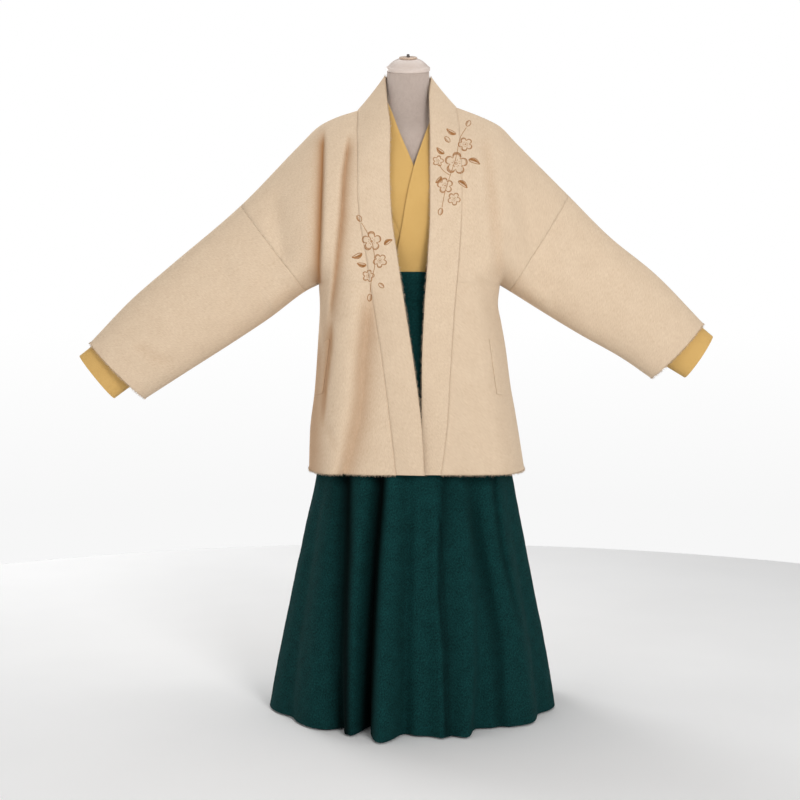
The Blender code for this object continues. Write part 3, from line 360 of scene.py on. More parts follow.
def nearest_on(x: Array, z: Array, line: Line) -> tuple[Array, Array]:
    """Signed distance to a line of the front view, and the share of its length.

    Args:
        x: horizontal places.
        z: heights.
        line: points of the line, from high to low.

    Returns:
        Distances, positive on the line's outer side, and shares from 0 to 1.
    """
    points = np.stack([np.ravel(x), np.ravel(z)], axis=1)
    starts = np.array(line[:-1], float)
    spans = np.array(line[1:], float) - starts
    sizes = np.linalg.norm(spans, axis=1)
    gaps = points[:, None, :] - starts[None]
    t = np.clip((gaps * spans).sum(2) / sizes ** 2, 0, 1)
    off = gaps - t[..., None] * spans
    far = np.linalg.norm(off, axis=2)
    pick = far.argmin(axis=1)
    rows = np.arange(len(points))
    turn = spans[pick, 0] * gaps[rows, pick, 1] - spans[pick, 1] * gaps[rows, pick, 0]
    before = np.concatenate([[0], np.cumsum(sizes)])
    share = (before[pick] + t[rows, pick] * sizes[pick]) / before[-1]
    return ((np.where(turn < 0, -1, 1) * far[rows, pick]).reshape(np.shape(x)),
            share.reshape(np.shape(x)))


def swell(distance: Array, reach: Array | float, power: Array | float) -> Array:
    """0 at an edge, rising in a round sweep to 1 at the reach."""
    q = np.clip(distance / reach, 0, 1)
    return (1 - (1 - q) ** 2) ** power


SLANTED_WAVES = ((0.35, 1.0, 0.4), (-0.6, 0.63, 0.3), (1.4, 0.47, 0.18), (-1.9, 0.31, 0.12))
WAVE_DRIFT, DRIFT_LENGTH = 0.9, 2.3              # how far a wave wanders, and over how many lengths


def unevenness(x: Array, z: Array, size: float, phase: float) -> Array:
    """Soft unevenness of hanging cloth, about -1 to 1, from slanting waves.

    Args:
        x: horizontal places.
        z: heights.
        size: length of the longest wave.
        phase: shifts the waves, so that two pieces differ.

    Returns:
        The unevenness at each place.
    """
    total = np.zeros(np.shape(x))
    for k, (lean, scale, share) in enumerate(SLANTED_WAVES):
        length = size * scale
        wave = (x + lean * z) * 2 * math.pi / length
        drift = WAVE_DRIFT * np.sin(z * 2 * math.pi / (length * DRIFT_LENGTH) + phase * (k + 2))
        total += share * np.sin(wave + drift + phase * (3 * k + 1))
    return total


@dataclass(frozen=True)
class Fold:
    """A soft trough along a line of the front view, or a ridge where its depth is negative, with
    painted shade down it where it has some.
    """

    line: Line                 # from high to low
    depth: float
    width: float               # half width on the inner side
    outer: float = 1.0         # half width on the outer side, as a share of that
    fade: tuple[float, float] = (0.25, 0.25)     # share of the length that fades at each end
    painted_shade: float = 0.0        # painted shade down it, 0 to 1: how far the colour goes to the cloth's fold colour
    sharp: float = 2.0         # 2 is a round trough, and towards 1 it is a crease

    def share(self, x: Array, z: Array, wider: float = 1.0) -> Array:
        """Shape of the fold at each place, 1 along its line and 0 outside it."""
        off, along = nearest_on(x, z, self.line)
        width = np.where(off > 0, self.width * self.outer, self.width) * wider
        ends = ease(along / max(self.fade[0], 1e-6))
        if self.fade[1] > 0:
            ends = ends * ease((1 - along) / self.fade[1])
        return np.exp(-(np.abs(off) / width) ** self.sharp) * ends


# Cloth pieces

@dataclass
class Grid:
    """Outer surface of a cut piece, as rows and columns of points."""

    points: Array
    live: Array
    wrap: bool = False
    painted_shade: Array | None = None  # painted shade of the folds at each point, 0 to 1

    MOST_DRAWN = 0.6           # share of the cell beside the rim that it may be drawn in by

    @property
    def closed(self) -> Array:
        """The points, with a tube's first row again at its end."""
        return np.concatenate([self.points, self.points[:1]]) if self.wrap else self.points

    def cell_normals(self) -> Array:
        """Normals of the cells, as long as their areas."""
        closed = self.closed
        across = np.cross(closed[1:, 1:] - closed[:-1, :-1], closed[1:, :-1] - closed[:-1, 1:])
        return across / 2 * self.live[..., None]

    def faced_out(self) -> "Grid":
        """Return the grid with its columns in the order that makes the normals face out."""
        centres = (self.closed[1:, 1:] + self.closed[:-1, :-1]) / 2
        middle = np.array([0, 0, centres[..., 2].mean()])
        if self.wrap:
            middle = centres.mean(axis=0, keepdims=True)
        if ((centres - middle) * self.cell_normals()).sum() >= 0:
            return self
        painted_shade = None if self.painted_shade is None else self.painted_shade[:, ::-1].copy()
        return Grid(self.points[:, ::-1].copy(), self.live[:, ::-1].copy(), self.wrap, painted_shade)

    def cloth_metres(self) -> Array:
        """Distances along the cloth, across and down, with a closing row on a tube."""
        closed = self.closed
        across = np.linalg.norm(np.diff(closed, axis=1), axis=2)
        down = np.linalg.norm(np.diff(closed, axis=0), axis=2)
        u = np.concatenate([np.zeros((len(closed), 1)), np.cumsum(across, axis=1)], axis=1)
        v = np.concatenate([np.zeros((1, closed.shape[1])), np.cumsum(down, axis=0)])
        return np.stack([u - u[:, -1:] / 2, v], axis=2)

    def corners(self) -> list[Array]:
        """For each point, which of its four cells are cloth: above-left to below-right."""
        rows, cols = self.live.shape
        count = self.points.shape[0]
        full = np.zeros((count + 1, cols + 2), bool)
        full[1:rows + 1, 1:cols + 1] = self.live
        if self.wrap:
            full[0, 1:cols + 1] = self.live[-1]
        return [full[:count, :-1], full[:count, 1:], full[1:count + 1, :-1], full[1:count + 1, 1:]]

    def drawn_in(self, points: Array, amount: Array | float) -> Array:
        """Pull the rim in along the cloth.

        Args:
            points: the points to move, in this grid's order.
            amount: how far, one for all or one a point.

        Returns:
            The moved points.
        """
        up_left, up_right, low_left, low_right = self.corners()
        left, right = up_left | low_left, up_right | low_right
        above, below = up_left | up_right, low_left | low_right
        turn = (up_left.astype(int) + up_right + low_left + low_right) == 3
        ways = ((right & (~left | turn & (~up_left | ~low_left)), (0, -1)),
                (left & (~right | turn & (~up_right | ~low_right)), (0, 1)),
                (below & (~above | turn & (~up_left | ~up_right)), (-1, 0)),
                (above & (~below | turn & (~low_left | ~low_right)), (1, 0)))
        moved = points.copy()
        amount = np.reshape(amount, (*np.shape(amount), 1))
        for mask, shift in ways:
            run = np.roll(points, shift, axis=(0, 1)) - points
            size = np.linalg.norm(run, axis=2, keepdims=True)
            step = np.minimum(amount, self.MOST_DRAWN * size) / np.maximum(size, 1e-9)
            moved += run * step * mask[..., None]
        return moved


@dataclass
class Sewn:
    """What a piece gets from its neighbours: common normals, and where it is sewn to them."""

    normal: Array
    joined: Array


def sewn(grids: dict[str, Grid]) -> dict[str, Sewn]:
    """Find the seams that pieces share and the point normals common to them.

    On the plane of the side seams, where a front meets the back, the normals lie in that plane.

    Args:
        grids: the pieces by name, all faced out.

    Returns:
        Unit normals and sewn points by name.
    """
    totals, keys = [], []
    for grid in grids.values():
        normal = grid.cell_normals()
        total = np.zeros_like(grid.points)
        for down in (0, 1):
            rows = (np.arange(normal.shape[0]) + down) % grid.points.shape[0]
            for over in (0, 1):
                total[rows, over:over + normal.shape[1]] += normal
        totals.append(total.reshape(-1, 3))
        keys.append(np.round(grid.points.reshape(-1, 3) * 2e4).astype(np.int64))
    _, owner = np.unique(np.concatenate(keys), axis=0, return_inverse=True)
    owner = owner.ravel()
    sums = np.zeros((owner.max() + 1, 3))
    np.add.at(sums, owner, np.concatenate(totals))
    ends = np.cumsum([0] + [len(key) for key in keys])
    pieces = np.zeros(owner.max() + 1, int)
    for start, stop in zip(ends, ends[1:]):
        pieces[np.unique(owner[start:stop])] += 1
    result = {}
    for (name, grid), start, stop in zip(grids.items(), ends, ends[1:]):
        normal = sums[owner[start:stop]].reshape(grid.points.shape)
        normal[np.abs(grid.points[..., 1]) < 1e-7, 1] = 0.0
        size = np.linalg.norm(normal, axis=2, keepdims=True)
        result[name] = Sewn(normal / np.where(size > 0, size, 1),
                            (pieces[owner[start:stop]] > 1).reshape(grid.points.shape[:2]))
    return result


@dataclass(frozen=True)
class Dressing:
    """The node, slot and hold of a finished cloth piece."""

    node: str
    slot: str
    held: Held
    rests_on: tuple[str, ...]
    word: str                  # last word of the piece's name

    @property
    def name(self) -> str:
        """Name of the piece."""
        return f"{self.node}_{self.word}"


SEAM_DRAW = 0.03 * MM          # each piece stops this far short of the shared seam line
SEAM_ROUND = 0.35 * MM         # a sewn edge is pressed nearly flat, and a free edge is fully round
RIM_TURNS = (0.25, 0.5, 0.75)  # points of the rounded edge, as shares of its half turn


def wall_mesh(name: str, grid: Grid, seams: Sewn, wall: float,
              finish: Material) -> Object:
    """Closed cloth wall behind a grid, with rounded edges and the cloth's own metres as UVs.

    Args:
        name: name of the object.
        grid: outer surface.
        seams: its points' normals, and where it is sewn to others.
        wall: thickness of the cloth.
        finish: material of the piece.

    Returns:
        The new object.
    """
    back = grid.points - wall * seams.normal
    turn = SEAM_DRAW + np.where(seams.joined, min(SEAM_ROUND, wall / 2), wall / 2)
    outer, inner = grid.drawn_in(grid.points, turn), grid.drawn_in(back, turn)
    edge = (grid.drawn_in(grid.points, SEAM_DRAW) + grid.drawn_in(back, SEAM_DRAW)) / 2
    centre = (outer + inner) / 2
    rim = [centre + (outer - centre) * math.cos(math.pi * t)
           + (edge - centre) * math.sin(math.pi * t) for t in RIM_TURNS]
    layers = [outer, *rim, inner]
    rows, cols = grid.points.shape[:2]
    count, last = rows * cols, len(layers) - 1
    uv = grid.cloth_metres().reshape(-1, 2)
    r, c = np.nonzero(grid.live)
    corner = [(r, c), (r, c + 1), (r + 1, c + 1), (r + 1, c)]
    vertex = [(a % rows) * cols + b for a, b in corner]
    place = [a * cols + b for a, b in corner]
    faces = [np.stack(vertex, axis=1), np.stack(vertex[::-1], axis=1) + last * count]
    places = [np.stack(place, axis=1), np.stack(place[::-1], axis=1)]
    ringed = np.zeros((grid.live.shape[0] + 2, grid.live.shape[1] + 2), bool)
    ringed[1:-1, 1:-1] = grid.live
    if grid.wrap:
        ringed[0, 1:-1], ringed[-1, 1:-1] = grid.live[-1], grid.live[0]
    beside = (ringed[:-2, 1:-1], ringed[1:-1, 2:], ringed[2:, 1:-1], ringed[1:-1, :-2])
    for k, neighbour in enumerate(beside):
        open_edge = ~neighbour[r, c]
        start, stop = vertex[k][open_edge], vertex[(k + 1) % 4][open_edge]
        from_place, to_place = place[k][open_edge], place[(k + 1) % 4][open_edge]
        for layer in range(last):
            low, high = layer * count, (layer + 1) * count
            faces.append(np.stack([stop + low, start + low, start + high, stop + high], axis=1))
            places.append(np.stack([to_place, from_place, from_place, to_place], axis=1))
    faces, places = np.concatenate(faces), np.concatenate(places)
    used, compact = np.unique(faces, return_inverse=True)
    vertices = np.concatenate([layer.reshape(-1, 3) for layer in layers])[used]
    compact = compact.reshape(faces.shape)
    a, b, d = vertices[compact[:, 0]], vertices[compact[:, 1]], vertices[compact[:, 2]]
    if (a * np.cross(b, d)).sum() < 0:
        compact, places = compact[:, ::-1], places[:, ::-1]
    made = mesh_object(name, vertices, compact.tolist(), finish, uv[places.ravel()])
    # Painted shade of the folds goes on the outer surface and the rounded edge, not on the inner
    # one.
    painted_shade = np.zeros(rows * cols) if grid.painted_shade is None else grid.painted_shade.ravel()
    shades = np.concatenate([painted_shade] * last + [painted_shade * 0])[used]
    shading = made.data.attributes.new(FOLD_SHADE, "FLOAT", "POINT")
    shading.data.foreach_set("value", shades.astype(np.float32))
    return made


def mesh_object(name: str, vertices: Array, faces: list, finish: Material,
                uv: Array | None = None) -> Object:
    """Link a smooth-shaded mesh object that rides on the body.

    Args:
        name: name of the object.
        vertices: its points.
        faces: point numbers of each face.
        finish: its material.
        uv: cloth metres of each face corner, if it has them.

    Returns:
        The new object.
    """
    mesh = bpy.data.meshes.new(name)
    mesh.from_pydata(np.asarray(vertices, float).tolist(), [], faces)
    if uv is not None:
        layer = mesh.uv_layers.new(name=CLOTH_MAP)
        layer.data.foreach_set("uv", np.ascontiguousarray(uv, np.float32).ravel())
    mesh.update()
    mesh.shade_smooth()
    mesh.materials.append(finish)
    made = put_in_scene(name, mesh)
    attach(made, BODY)
    LOG.info("%s: %d faces", name, len(faces))
    return made


LEAST_FILL, MOST_FILL = 0.31, 0.999              # shares of its rectangle that a cut may fill


def declare(piece: Object, grid: Grid, dressing: Dressing) -> None:
    """Hide the CAD part that a cloth piece replaces, and log the cut that it was sewn from.

    Args:
        piece: the finished piece.
        grid: its outer surface, from which the flat size is read.
        dressing: its node, slot and how it is held.
    """
    metres = grid.cloth_metres()
    width, length = (math.ceil(float(np.ptp(metres[..., k], axis=1 - k).max()) / MM) * MM
                     for k in (0, 1))
    area = float(np.linalg.norm(grid.cell_normals(), axis=2).sum())
    area = min(max(area, LEAST_FILL * width * length), MOST_FILL * width * length)
    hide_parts(dressing.node)
    LOG.info("%s: cut %.0f x %.0f mm, %.0f square cm of cloth", piece.name, width / MM, length / MM,
             area * 1e4)


def hang(grids: dict[str, Grid], wall: float, finish: Material, slot: str, word: str,
         rests_on: str) -> None:
    """Build pieces that are sewn to each other and hang, and hide the CAD parts that they replace.

    Args:
        grids: their outer surfaces by node, faced out.
        wall: thickness of the cloth.
        finish: the cloth.
        slot: material slot of the pieces; not used.
        word: last word of the pieces' names.
        rests_on: what carries them; not used.
    """
    seams = sewn(grids)
    for node, grid in grids.items():
        dressing = Dressing(node, slot, Held.HUNG, (rests_on,), word)
        declare(wall_mesh(dressing.name, grid, seams[node], wall, finish), grid, dressing)


# Garments

@dataclass(frozen=True)
class Density:
    """How many cells each stretch of a garment has."""

    shoulder: int
    wing: int
    sleeve: int
    upper: int
    lower: int
    neck: int
    band: int


@dataclass(frozen=True)
class NeckLine:
    """Back of the neck: how far the seam and the free edge of the collar stand back."""

    seam_back: float
    edge_back: float
    seam_rise: float
    drop: float = 0.12         # the back loses the neckline's own curve this far down


@dataclass
class Garment:
    """A garment cut in panels: every panel is read from one outline and one depth rule."""

    top: dict[Side, Line]      # shoulder and top of the sleeve: x, z
    underarm: dict[Side, Line]
    side_seam: dict[Side, Line]
    shoulder: dict[Side, float]                  # x of the rib that drops to the armpit
    drop: dict[Side, tuple[float, float]]        # sleeve seam: top x, low x
    band: dict[Side, Sequence[tuple[float, ...]]]    # seam x, seam z, edge x, edge z, edge depth
    neck: NeckLine
    body_depth: dict[Face, Line]                 # z, depth
    sleeve_depth: Line         # x, depth
    top_reach: Line            # x, how far the ridge's round sweep reaches
    low_reach: Line
    mix_start: float           # x where the body's depth starts to pass into the sleeve's
    follow_z: float            # below this the collar lies on the garment's own surface
    density: Density
    crown: float               # how far the collar band swells behind the neck
    sag: dict[Side, float]     # and how far its middle sinks below its edges in front
    waves: tuple[float, float] # height and length of the soft unevenness
    folds: dict[tuple[Side, Face], list[Fold]] = field(default_factory=dict)
    under_layer: dict[Side, float] = field(default_factory=dict)

    RIDGE_POWER = 0.8          # how sharply the body folds over at the shoulder line
    SLEEVE_MIX = 0.16          # the body's depth passes into the sleeve's over this width
    BODY_BELOW_Z = 0.80        # only the body counts below here
    BODY_FADE = 0.15           # and it fades out over this height above
    SLEEVE_PAST_X = 0.27       # only the sleeve counts past here
    SLEEVE_FADE = 0.05
    RIDGE_X = (0.12, 0.30)     # the fold-over softens between these, to a round tube
    ROUND_POWER = 0.5
    EVEN = 0.55                # how evenly rows are spread, against closer together at the edges
    RIB_BUNCH = 0.35           # how much the ribs bunch towards the side seam
    RIB_FADE = 1.5             # how fast a rib loses the shoulder's own curve
    CROWN_Z, CROWN_FADE = 1.32, 0.12             # below here the collar loses its swell
    FOLLOW_FADE = 0.05         # the collar settles on the garment over this height

    def __post_init__(self) -> None:
        """Replace the outlines' tables with close points on smooth curves."""
        self.top = {side: dense(line) for side, line in self.top.items()}
        self.underarm = {side: dense(line) for side, line in self.underarm.items()}
        self.side_seam = {side: dense(line, along_z=True) for side, line in self.side_seam.items()}

    def depth(self, side: Side, face: Face, x: Array, z: Array) -> Array:
        """How far the cloth stands from the plane of the side seams.

        Args:
            side: side of the wearer.
            face: front or back.
            x: distances towards that side.
            z: heights.

        Returns:
            Depths, without the sign of the face.
        """
        across = np.abs(x)
        body, sleeve = curve(z, self.body_depth[face]), curve(across, self.sleeve_depth)
        above = np.clip((z - self.BODY_BELOW_Z) / self.BODY_FADE, 0, 1)
        past = np.clip((across - self.SLEEVE_PAST_X) / self.SLEEVE_FADE, 0, 1)
        mix = ease(np.clip((across - self.mix_start) / self.SLEEVE_MIX, 0, 1)
                   * np.maximum(above, past))
        full = body * (1 - mix) + sleeve * mix
        if face == Face.FRONT:
            full = full - self.under_layer.get(side, 0.0)
        power = np.interp(across, self.RIDGE_X, (self.RIDGE_POWER, self.ROUND_POWER))
        high = swell(np.abs(nearest_on(across, z, self.top[side])[0]),
                     curve(across, self.top_reach), power)
        low_line = self.side_seam[side][::-1] + self.underarm[side][1:]
        low = swell(np.abs(nearest_on(across, z, low_line)[0]), curve(across, self.low_reach),
                    self.ROUND_POWER)
        troughs = sum((fold.depth * fold.share(across, z)
                       for fold in self.folds.get((side, face), [])),
                      np.zeros(np.shape(x)))
        height, length = self.waves
        soft = height * unevenness(across, z, length, 1.3 * side + 0.7 * face)
        edge = self.neck_edge(side, across, z) if face == Face.BACK else 0.0
        return edge + (full - edge) * high * low - (troughs + soft) * np.minimum(high, low)

    def neck_edge(self, side: Side, across: Array, z: Array) -> Array:
        """Depth of the back neckline, where the collar is sewn on."""
        width, top_z = self.top[side][0]
        share = np.clip(1 - (top_z - z) / self.neck.drop, 0, 1)
        return share * self.neck.seam_back * np.sqrt(np.clip(1 - (across / width) ** 2, 0, 1))

    def painted_fold_shade(self, points: Array) -> Array:
        """Painted shade of the folds, 0 to 1, at points of the surface."""
        result = np.zeros(points.shape[:-1])
        for (side, face), folds in self.folds.items():
            mine = (points[..., 0] * side >= 0) & (points[..., 1] * face >= 0)
            x, z = np.abs(points[mine][:, 0]), points[mine][:, 2]
            for fold in folds:
                if fold.painted_shade:
                    result[mine] = np.maximum(result[mine], fold.painted_shade * fold.share(x, z, 0.9))
        return result

    def surface(self, side: Side, face: Face, x: Array, z: Array) -> Array:
        """Points of the outer surface at distances x towards a side and heights z."""
        return np.stack([side * x, face * self.depth(side, face, x, z), z], axis=-1)

    def upper_shares(self) -> Array:
        """Row places from the shoulder line to the underarm, closer at both edges."""
        even = np.arange(self.density.upper + 1) / self.density.upper
        return even * self.EVEN + (1 - np.cos(np.pi * even)) / 2 * (1 - self.EVEN)

    def lower_shares(self) -> Array:
        """Row places from the armpit to the hem."""
        return np.arange(1, self.density.lower + 1) / self.density.lower

    def rib(self, top_point: tuple[float, float], low_point: tuple[float, float]) -> Array:
        """One rib of a wing or sleeve, straight in the front view."""
        share = self.upper_shares()[:, None]
        return np.array(top_point) * (1 - share) + np.array(low_point) * share

    def outer_rib(self, side: Side) -> Array:
        """The rib that bounds the body: shoulder, armpit, then the side seam to the hem."""
        top_x = self.shoulder[side]
        upper = self.rib((top_x, float(curve(top_x, self.top[side]))), self.side_seam[side][0])
        first, last = self.side_seam[side][0][1], self.side_seam[side][-1][1]
        z = first + (last - first) * self.lower_shares()
        return np.vstack([upper, np.stack([curve(z, self.side_seam[side], 1, 0), z], axis=1)])

    def inner_rib(self, side: Side, face: Face, hem_z: float) -> Array:
        """The rib at the collar seam in front, or at the middle of the back."""
        level, seam_z = self.side_seam[side][0][1], self.band[side][0][1]
        top_z = seam_z if face == Face.FRONT else seam_z + self.neck.seam_rise
        z = top_z + (level - top_z) * self.upper_shares()
        z = np.append(z, level + (hem_z - level) * self.lower_shares())
        x = curve(z, self.band[side], 1, 0) if face == Face.FRONT else np.zeros(len(z))
        return np.stack([x, z], axis=1)

    def body_ribs(self, side: Side, face: Face) -> list[Array]:
        """All ribs from the collar seam or the middle of the back out to the side seam."""
        last = self.outer_rib(side)
        first = self.inner_rib(side, face, last[-1, 1])
        width, base_z = self.top[side][0]
        steps = self.density.shoulder * (2 if face == Face.FRONT else 1)
        out = np.linspace(width, last[0, 0], steps + 1)
        tops = np.stack([out, curve(out, self.top[side])], axis=1)
        if face == Face.BACK:
            turn = np.arange(self.density.neck // 2) * np.pi / self.density.neck
            neck = np.stack([width * np.sin(turn), base_z + self.neck.seam_rise * np.cos(turn)],
                            axis=1)
            tops = np.vstack([neck, tops])
        even = np.arange(len(tops)) / (len(tops) - 1)
        spread = self.RIB_BUNCH * np.sin(even * np.pi / 2) + (1 - self.RIB_BUNCH) * even
        down = np.append(self.upper_shares(), np.ones(self.density.lower))
        fade = (1 - down)[:, None] ** self.RIB_FADE
        ribs = []
        for share, top in zip(spread, tops):
            rib = first * (1 - share) + last * share
            ribs.append(rib + (top - rib[0]) * fade)
        return ribs

    def outer_ribs(self, side: Side, tops: Array, lows: Array) -> list[Array]:
        """Ribs between the sleeve's top line and the underarm line."""
        return [self.rib((t, float(curve(t, self.top[side]))),
                         (u, float(curve(u, self.underarm[side]))))
                for t, u in zip(tops, lows)]

    def wing_ribs(self, side: Side) -> list[Array]:
        """Ribs from the armpit rib out to the sleeve seam."""
        count = self.density.wing
        tops = np.linspace(self.shoulder[side], self.drop[side][0], count + 1)[1:]
        lows = np.linspace(self.side_seam[side][0][0], self.drop[side][1], count + 1)[1:]
        return self.outer_ribs(side, tops, lows)

    def sleeve_ribs(self, side: Side) -> list[Array]:
        """Ribs from the sleeve seam to the cuff."""
        count = self.density.sleeve
        tops = np.linspace(self.drop[side][0], self.top[side][-1][0], count + 1)
        lows = np.linspace(self.drop[side][1], self.underarm[side][-1][0], count + 1)
        return self.outer_ribs(side, tops, lows)

    def lift(self, side: Side, face: Face, ribs: list[Array]) -> Array:
        """Points in space for ribs of the front view: rows run down, columns run out."""
        flat = np.stack(ribs, axis=1)
        points = self.surface(side, face, flat[..., 0], flat[..., 1])
        on_neck = (face == Face.BACK) & (flat[0, :, 0] < self.top[side][0][0] - 1e-6)
        points[0, :, 1] = np.where(on_neck, points[0, :, 1], 0.0)
        return points

    def closed_lift(self, side: Side, face: Face, ribs: list[Array]) -> Array:
        """Points of a wing or sleeve, with the underarm row on the plane of the side seams."""
        block = self.lift(side, face, ribs)
        block[self.density.upper, :, 1] = 0.0
        return block

    def panel(self, side: Side, face: Face) -> Grid:
        """A front, or one half of the back, from its inner rib to the sleeve seam."""
        body = self.lift(side, face, self.body_ribs(side, face))
        body[self.density.upper:, -1, 1] = 0.0
        wing = self.closed_lift(side, face, self.wing_ribs(side))
        wing = np.concatenate([wing, np.repeat(wing[-1:], self.density.lower, axis=0)])
        points = np.concatenate([body, wing], axis=1)
        live = np.ones((points.shape[0] - 1, points.shape[1] - 1), bool)
        live[self.density.upper:, body.shape[1] - 1:] = False
        return Grid(points, live)

    def back(self) -> Grid:
        """Back panel from sleeve seam to sleeve seam."""
        right, left = self.panel(Side.RIGHT, Face.BACK), self.panel(Side.LEFT, Face.BACK)
        middle = (right.points[:, 0] + left.points[:, 0]) / 2
        points = np.concatenate([right.points[:, :0:-1], middle[:, None], left.points[:, 1:]],
                                axis=1)
        return Grid(points, np.concatenate([right.live[:, ::-1], left.live], axis=1))

    def sleeve(self, side: Side) -> Grid:
        """Sleeve tube: rows run right round it, columns run out to the cuff."""
        ribs = self.sleeve_ribs(side)
        front = self.closed_lift(side, Face.FRONT, ribs)
        back = self.closed_lift(side, Face.BACK, ribs)
        points = np.concatenate([front, back[-2:0:-1]])
        return Grid(points, np.ones((points.shape[0], points.shape[1] - 1), bool), wrap=True)

    def collar(self, fronts: dict[Side, Grid]) -> Grid:
        """Collar band: up one front, round the neck and down the other."""
        seams = {side: fronts[side].points[:, 0] for side in Side}
        edges = {}
        for side in Side:
            x, z, depth = (curve(seams[side][:, 2], self.band[side], 1, column)
                           for column in (2, 3, 4))
            edges[side] = np.stack([side * x, -depth, z], axis=1)
        turn = np.arange(1, self.density.neck) * np.pi / self.density.neck
        round_back = []
        for ends, back, rise in ((seams, self.neck.seam_back, self.neck.seam_rise),
                                 (edges, self.neck.edge_back, 0.0)):
            start, stop = ends[Side.RIGHT][0], ends[Side.LEFT][0]
            width = np.where(turn < np.pi / 2, -start[0], stop[0])
            height = start[2] + (stop[2] - start[2]) * turn / np.pi + rise * np.sin(turn)
            round_back.append(np.stack([-width * np.cos(turn), back * np.sin(turn), height],
                                       axis=1))
        seam = np.vstack([seams[Side.RIGHT][::-1], round_back[0], seams[Side.LEFT]])
        edge = np.vstack([edges[Side.RIGHT][::-1], round_back[1], edges[Side.LEFT]])
        shares = np.linspace(0, 1, self.density.band + 1)[None, :, None]
        points = seam[:, None] * (1 - shares) + edge[:, None] * shares
        out = np.cross(np.gradient(seam, axis=0), edge - seam)
        out /= np.linalg.norm(out, axis=1)[:, None]
        rows = len(seams[Side.RIGHT])
        rows_of = {Side.RIGHT: slice(0, rows), Side.LEFT: slice(-rows, None)}
        bulge = np.full(len(seam), self.crown)
        for side, mine in rows_of.items():
            lost = ease((self.CROWN_Z - seam[mine, 2]) / self.CROWN_FADE)
            bulge[mine] -= (self.crown + self.sag[side]) * lost
        points = points + out[:, None] * bulge[:, None, None] * 4 * shares * (1 - shares)
        for side, mine in rows_of.items():
            part = points[mine]
            sunk = -self.depth(side, Face.FRONT, np.abs(part[..., 0]), part[..., 2])
            settled = np.clip((self.follow_z - part[..., 2]) / self.FOLLOW_FADE, 0, 1)
            part[..., 1] += (sunk - part[..., 1]) * settled
        return Grid(points, np.ones((points.shape[0] - 1, self.density.band), bool))

    def pieces(self, prefix: str) -> dict[str, Grid]:
        """Outer grids of all the cut pieces, faced out.

        Args:
            prefix: first word of the nodes' names.

        Returns:
            The grids by node name.
        """
        fronts = {side: self.panel(side, Face.FRONT) for side in Side}
        collar, back = self.collar(fronts), self.back()
        rows = (collar.points.shape[0] - (self.density.neck - 1)) // 2
        middle, half = back.points.shape[1] // 2, self.density.neck // 2
        neck = collar.points[rows - 1:rows + self.density.neck, 0]
        back.points[0, middle - half:middle + half + 1] = neck
        made = {"front_right": fronts[Side.RIGHT], "front_left": fronts[Side.LEFT], "back": back,
                "sleeve_right": self.sleeve(Side.RIGHT), "sleeve_left": self.sleeve(Side.LEFT),
                "collar": collar}
        faced = {f"{prefix}_{part}": grid.faced_out() for part, grid in made.items()}
        for node, grid in faced.items():
            if not node.endswith("collar"):
                grid.painted_shade = self.painted_fold_shade(grid.points)
        return faced


def inset(line: Line, amount: float) -> list[tuple[float, float]]:
    """A line moved down and in by an amount along its own normals."""
    points = np.array(line, float)
    runs = np.gradient(points, axis=0)
    runs /= np.linalg.norm(runs, axis=1)[:, None]
    normals = np.stack([runs[:, 1], -runs[:, 0]], axis=1)
    return [tuple(p) for p in (points + amount * normals).tolist()]


HEM_Z = 0.537                  # coat hem above the floor
COAT_TOP = {                   # shoulder and top of the sleeve: x, z
    Side.RIGHT: [(0.112, 1.335), (0.156, 1.321), (0.197, 1.301), (0.241, 1.259), (0.374, 1.124),
                 (0.541, 0.983), (0.621, 0.914), (0.714, 0.818)],
    Side.LEFT: [(0.107, 1.342), (0.160, 1.322), (0.206, 1.299), (0.237, 1.267), (0.359, 1.146),
                (0.451, 1.055), (0.556, 0.970), (0.663, 0.861)]}


